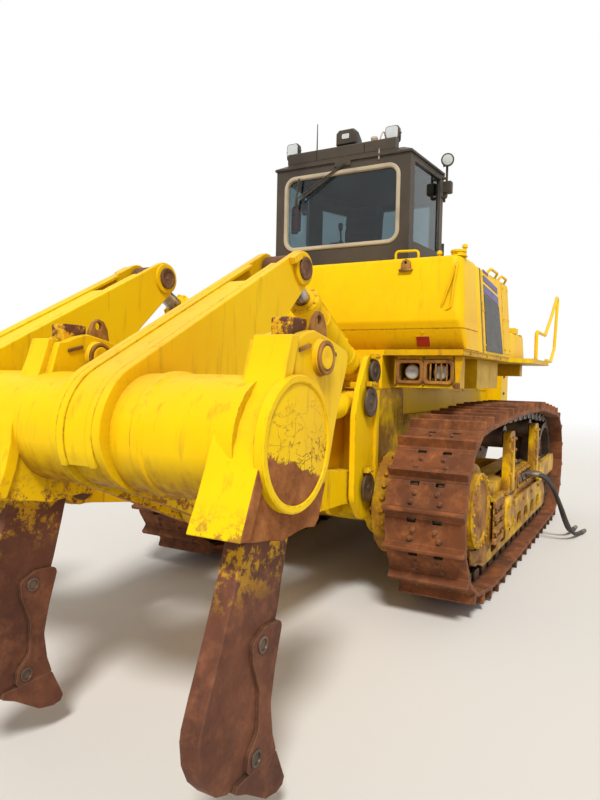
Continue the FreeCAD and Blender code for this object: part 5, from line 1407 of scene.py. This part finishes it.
for side, label in ((-1, "right"), (1, "left")):
    outward = Vector((0, side, 0))
    rim = Shape()
    hub_centre = at(0, side * 1494, 800)
    rim.lathe(hub_centre, outward, ((0, 0.302), (0.010, 0.302), (0.016, 0.296), (0.017, 0.252), (0.012, 0.246), (0.002, 0.24)), 72)
    rim.bolts(hub_centre + outward * 0.016, outward, 0.275, 20, 0.015, 0.014, 0.1)
    flange = at(0, side * 746, 800)
    rim.bolts(flange, -outward, 0.398, 26, 0.019, 0.020, 0.05)
    rim.bolts(at(0, side * 899, 800), outward, 0.400, 26, 0.017, 0.018, 0.12)
    for step in range(28):
        a = 2 * math.pi * step / 28
        way = Vector((math.cos(a), 0, math.sin(a)))
        rim.bolt(at(0, side * 838, 800) + way * 0.429, way, 0.021, 0.022)
    for low, high in ((693, 742), (588, 637), (483, 532)):
        middle = (low + high) / 2
        tie = [(430, low), (600, middle - 15), (770, low), (770, high), (600, middle + 15), (430, high)]
        rim.plate(tie, *mirrored(side, 1511, 1519))
    rim.plate([(430, 798), (770, 798), (770, 816), (720, 838), (480, 838), (430, 816)], *mirrored(side, 1486, 1530))
    for x0, x1, z0, z1 in ((1270, 1830, 640, 880), (1930, 2920, 690, 880)):
        outer = [(x0 + 40, z0), (x1 - 40, z0), (x1, z0 + 40), (x1, z1 - 40), (x1 - 40, z1), (x0 + 40, z1), (x0, z1 - 40), (x0, z0 + 40)]
        inner = [(x + (30 if x < (x0 + x1) / 2 else -30), z + (30 if z < (z0 + z1) / 2 else -30)) for x, z in outer]
        low, high = mirrored(side, 1420.5, 1446)
        rim.ring_plate(outer, inner, low, high)
        for step in range(7):
            x = x0 + 45 + (x1 - x0 - 90) * step / 6
            for z in (z0 + 15, z1 - 15):
                rim.bolt(at(x, side * 1446, z), outward, 0.010, 0.010)
    for x in (1350, 2800):
        for bolt_x in (x - 105, x + 105):
            for z in (940, 1050, 1160, 1270):
                rim.bolt(at(bolt_x, side * 1485, z), outward, 0.017, 0.018)
        rim.plate([(x - 60, 780), (x + 60, 780), (x + 34, 1290), (x - 34, 1290)], *mirrored(side, 1485, 1503))
    for x in (700, 1200, 1700, 2200, 2700, 3200, 3600):
        rim.bolt(at(x, side * 1455, 560), outward, 0.016, 0.016)
    rim = rim.done("frame_covers_" + label, "tractor", "frame_yellow", "yellow_paint", 0.002)

    bars = Shape()
    for low, high in ((742, 798), (637, 693), (532, 588), (430, 483)):
        line = [(424, low + 6), (430, low), (770, low), (776, low + 6), (776, high - 6), (770, high), (430, high), (424, high - 6)]
        bars.plate(line, *mirrored(side, 1511, 1537))
    for z in (717, 612, 507):
        for x in (490, 705):
            bars.bolt(at(x, side * 1519, z), outward, 0.018, 0.016)
    tip = [(-140, 500), (60, 458), (400, 456), (800, 456), (800, 410), (250, 318), (-80, 366)]
    bars.plate(tip, *mirrored(side, 1448, 1466))
    bars.plate([(-92, 380), (246, 332), (250, 318), (-80, 366)], *mirrored(side, 1466, 1482))
    casting = Shape()
    rings = []
    for off, grow in ((1511, 0), (1534, 0), (1546, -14), (1550, -30)):
        rings.append([
            at(1015 + (190 + grow) * math.cos(a) * (1 + 0.12 * abs(math.sin(2 * a))),
               side * off,
               610 + (150 + grow) * math.sin(a) * (1 + 0.16 * abs(math.sin(2 * a))))
            for a in [2 * math.pi * k / 40 for k in range(40)]
        ])
    casting.loft(rings)
    for a in (45, 135, 225, 315):
        x = 1015 + 160 * math.cos(math.radians(a))
        z = 610 + 124 * math.sin(math.radians(a))
        casting.bolt(at(x, side * 1549, z), outward, 0.019, 0.018)
    casting.done("pad_cover_" + label, "tractor", "frame_yellow", "yellow_paint", 0.002)
    bars.lathe(hub_centre - outward * 0.002, outward, ((0, 0.246), (0.006, 0.244), (0.008, 0.13), (0.020, 0.12), (0.026, 0.09), (0.028, 0.002)), 64)
    bars.done("bolted_bars_" + label, "tractor", "rust_trim", "rusty_steel", 0.002)

    dark = Shape()
    for x0, x1, z0, z1 in ((1300, 1800, 670, 850), (1960, 2890, 720, 850)):
        dark.plate([(x0, z0), (x1, z0), (x1, z1), (x0, z1)], *mirrored(side, 1420.5, 1426))
        for step in range(4):
            x = x0 + (x1 - x0) * (step + 0.5) / 4
            dark.lathe(at(x, side * 1426, (z0 + z1) / 2), outward, ((0, 0.055), (0.014, 0.050), (0.018, 0.030)), 24)
    for x in (1500, 2050, 2450):
        line = ((x - 120, 1330, 905), (x - 60, 1360, 940), (x + 60, 1360, 940), (x + 120, 1330, 905))
        dark.tube([at(px, side * py, pz) for px, py, pz in line], 0.014, 10, 5)
    dark.done("frame_recesses_" + label, "tractor", "grease", "engine_iron", 0.001)

    caps = Shape()
    keepers = Shape()
    for x, z, big in ((-500, 980, 0.112), (-480, 1650, 0.118), (-410, 1890, 0.096)):
        spot = at(x, side * 735.3, z)
        profile = ((0, big), (0.012, big), (0.018, big - 0.007), (0.018, big * 0.62), (0.010, big * 0.56), (0.010, 0.024), (0.016, 0.020))
        caps.lathe(spot, outward, profile, 48)
        keepers.block(at(x - 48, min(side * 711, side * 762), z + big * 1000 + 6), at(x + 48, max(side * 711, side * 762), z + big * 1000 + 44), 0.006)
        for off in (-28, 28):
            keepers.bolt(at(x + off, side * 762, z + big * 1000 + 25), outward, 0.011, 0.010)
    caps.done("bracket_caps_" + label, "tractor", "grease", "worn_steel", 0.001)
    keepers.done("bracket_keepers_" + label, "tractor", "dirty_yellow", "yellow_paint", 0.003)

# Hood, front and roof: doors with louvres, latches, lamps, clamps and covers

HOOD_X = (2150, 4240)
HOOD_HALF = 560
for side, label in ((-1, "right"), (1, "left")):
    outward = Vector((0, side, 0))
    doors = Shape()
    for x0, x1 in ((2210, 2860), (2900, 3550), (3590, 4190)):
        line = [(x0 + 24, 1700), (x1 - 24, 1700), (x1, 1724), (x1, 2500), (x1 - 24, 2524), (x0 + 24, 2524), (x0, 2500), (x0, 1724)]
        doors.plate(line, *mirrored(side, HOOD_HALF - 1, HOOD_HALF + 9))
        for row in range(9):
            z = 1850 + row * 62

            rings = [[at(x, side * y, w) for y, w in ((HOOD_HALF + 8, z + 26), (HOOD_HALF + 26, z + 2), (HOOD_HALF + 26, z - 4), (HOOD_HALF + 8, z - 4))] for x in (x0 + 90, x1 - 90)]
            doors.loft(rings)
        for z in (1790, 2440):
            doors.lathe(at(x1 - 45, side * (HOOD_HALF + 8), z), outward, ((0, 0.030), (0.006, 0.030), (0.010, 0.022), (0.014, 0.0001)), 20)
            doors.tube([at(x0 - 6, side * (HOOD_HALF + 6), z - 50), at(x0 - 6, side * (HOOD_HALF + 6), z + 50)], 0.012, 12)
    doors.done("hood_doors_" + label, "tractor", "yellow_paint", "yellow_paint", 0.002)
    front = Shape()
    glassy = Shape()
    spot = at(4330, side * 560, 2760)
    ahead = Vector((1, 0, -0.08)).normalized()
    front.lathe(spot, ahead, ((0, 0.028), (0.03, 0.062), (0.08, 0.078), (0.12, 0.080), (0.125, 0.075)), 32)
    front.tube([at(4350, side * 560, 2698), at(4360, side * 560, 2735)], 0.020, 12)
    glassy.lathe(spot + ahead * 0.116, ahead, ((0, 0.074), (0.008, 0.071), (0.014, 0.035)), 32)
    front.done("front_lamps_" + label, "tractor", "charcoal_paint", "black_plastic")
    glassy.done("front_lenses_" + label, "tractor", "lens", "glass")
    guard = Shape()
    for z in (1180, 1420, 1660, 1900, 2140, 2380, 2620):
        guard.bolt(at(4700, side * 700, z), Vector((1, 0, 0)), 0.018, 0.018)
        guard.bolt(at(4400, side * 760, z), outward, 0.018, 0.018)
    for x in (2350, 2700, 3300, 3700, 4050):
        guard.bolt(at(x, side * 620, 1380), outward, 0.020, 0.020)
        guard.bolt(at(x, side * 620, 900), outward, 0.020, 0.020)
    guard.done("guard_bolts_" + label, "tractor", "worn_steel", "worn_steel")

tops = Shape()
roof = []
for z, back in ((3969, 0), (3984, 0), (3992, 6), (3997, 30), (4000, 120)):
    roof.append(level_ring((700 + back, 1900 - back), (back - 470, 470 - back), z, 70, 70, 6))
tops.loft(roof)
for x in (760, 1060, 1360, 1660):
    tops.block(at(x, -400, 3996), at(x + 60, 400, 4004), 0.01)
tops.done("roof_panel", "tractor", "charcoal_paint", "charcoal_paint")
stack = Shape()
for z in (2852, 3190):
    stack.lathe(at(3300, 250, z), Vector((0, 0, 1)), ((0, 0.111), (0, 0.118), (0.024, 0.118), (0.024, 0.111)), 40)
for z, radius in ((3010, 0.161), (3225, 0.161)):
    stack.lathe(at(2600, 350, z), Vector((0, 0, 1)), ((0, radius), (0, radius + 0.008), (0.022, radius + 0.008), (0.022, radius)), 40)
    stack.block(at(2600 - 190, 335, z), at(2600 - 158, 365, z + 22), 0.003)
stack.done("stack_clamps", "tractor", "rust_pin", "rusty_steel")

# Floor and light

FLOOR_HALF = 60
floor_mesh = bpy.data.meshes.new("floor")
corners = [(x * FLOOR_HALF, y * FLOOR_HALF, -0.001) for x, y in ((-1, -1), (1, -1), (1, 1), (-1, 1))]
floor_mesh.from_pydata(corners, [], [(0, 1, 2, 3)])
floor = bpy.data.objects.new("floor", floor_mesh)
bpy.context.scene.collection.objects.link(floor)
ground = Paint("floor_pale", Roughness=0.8, Specular_IOR_Level=0.1)
far = ground.node("ShaderNodeVectorMath", {0: ground.place}, operation="LENGTH").outputs["Value"]
ground.shader.inputs["Base Color"].default_value = rgb(0.72, 0.71, 0.69)
white = ground.node("ShaderNodeEmission", {"Color": rgb(1, 1, 1), "Strength": 1.0})
blend = ground.node("ShaderNodeMixShader", {0: ground.band(far, 9.0, 26.0)})
ground.tree.links.new(ground.shader.outputs[0], blend.inputs[1])
ground.tree.links.new(white.outputs[0], blend.inputs[2])
ground.tree.links.new(blend.outputs[0], ground.out.inputs[0])
floor_mesh.materials.append(ground.material)

world = bpy.data.worlds.new("studio")
bpy.context.scene.world = world
world.use_nodes = True
tree = world.node_tree
tree.nodes.clear()
rays = tree.nodes.new("ShaderNodeLightPath")
also = tree.nodes.new("ShaderNodeMath")
also.operation = "MAXIMUM"
soft_light = tree.nodes.new("ShaderNodeBackground")
soft_light.inputs[0].default_value = (1.0, 0.97, 0.92, 1.0)
soft_light.inputs[1].default_value = 0.5
backdrop = tree.nodes.new("ShaderNodeBackground")
backdrop.inputs[0].default_value = (1, 1, 1, 1)
backdrop.inputs[1].default_value = 1.0
choice = tree.nodes.new("ShaderNodeMixShader")
world_out = tree.nodes.new("ShaderNodeOutputWorld")
seen = tree.nodes.new("ShaderNodeMath")
seen.operation = "MAXIMUM"
tree.links.new(rays.outputs["Is Camera Ray"], seen.inputs[0])
tree.links.new(rays.outputs["Is Glossy Ray"], seen.inputs[1])
tree.links.new(seen.outputs[0], also.inputs[0])
tree.links.new(rays.outputs["Is Transmission Ray"], also.inputs[1])
tree.links.new(also.outputs[0], choice.inputs[0])
tree.links.new(soft_light.outputs[0], choice.inputs[1])
tree.links.new(backdrop.outputs[0], choice.inputs[2])
tree.links.new(choice.outputs[0], world_out.inputs[0])

KEY = {"energy": 2.8, "softness": 12, "from": (-0.58, -0.30, 0.76)}
key = bpy.data.objects.new("key", bpy.data.lights.new("key", "SUN"))
key.data.energy = KEY["energy"]
key.data.angle = math.radians(KEY["softness"])
key.data.color = (1.0, 0.97, 0.92)
key.rotation_euler = Vector(KEY["from"]).to_track_quat("Z", "Y").to_euler()
bpy.context.scene.collection.objects.link(key)
bpy.context.scene.view_settings.view_transform = "Standard"
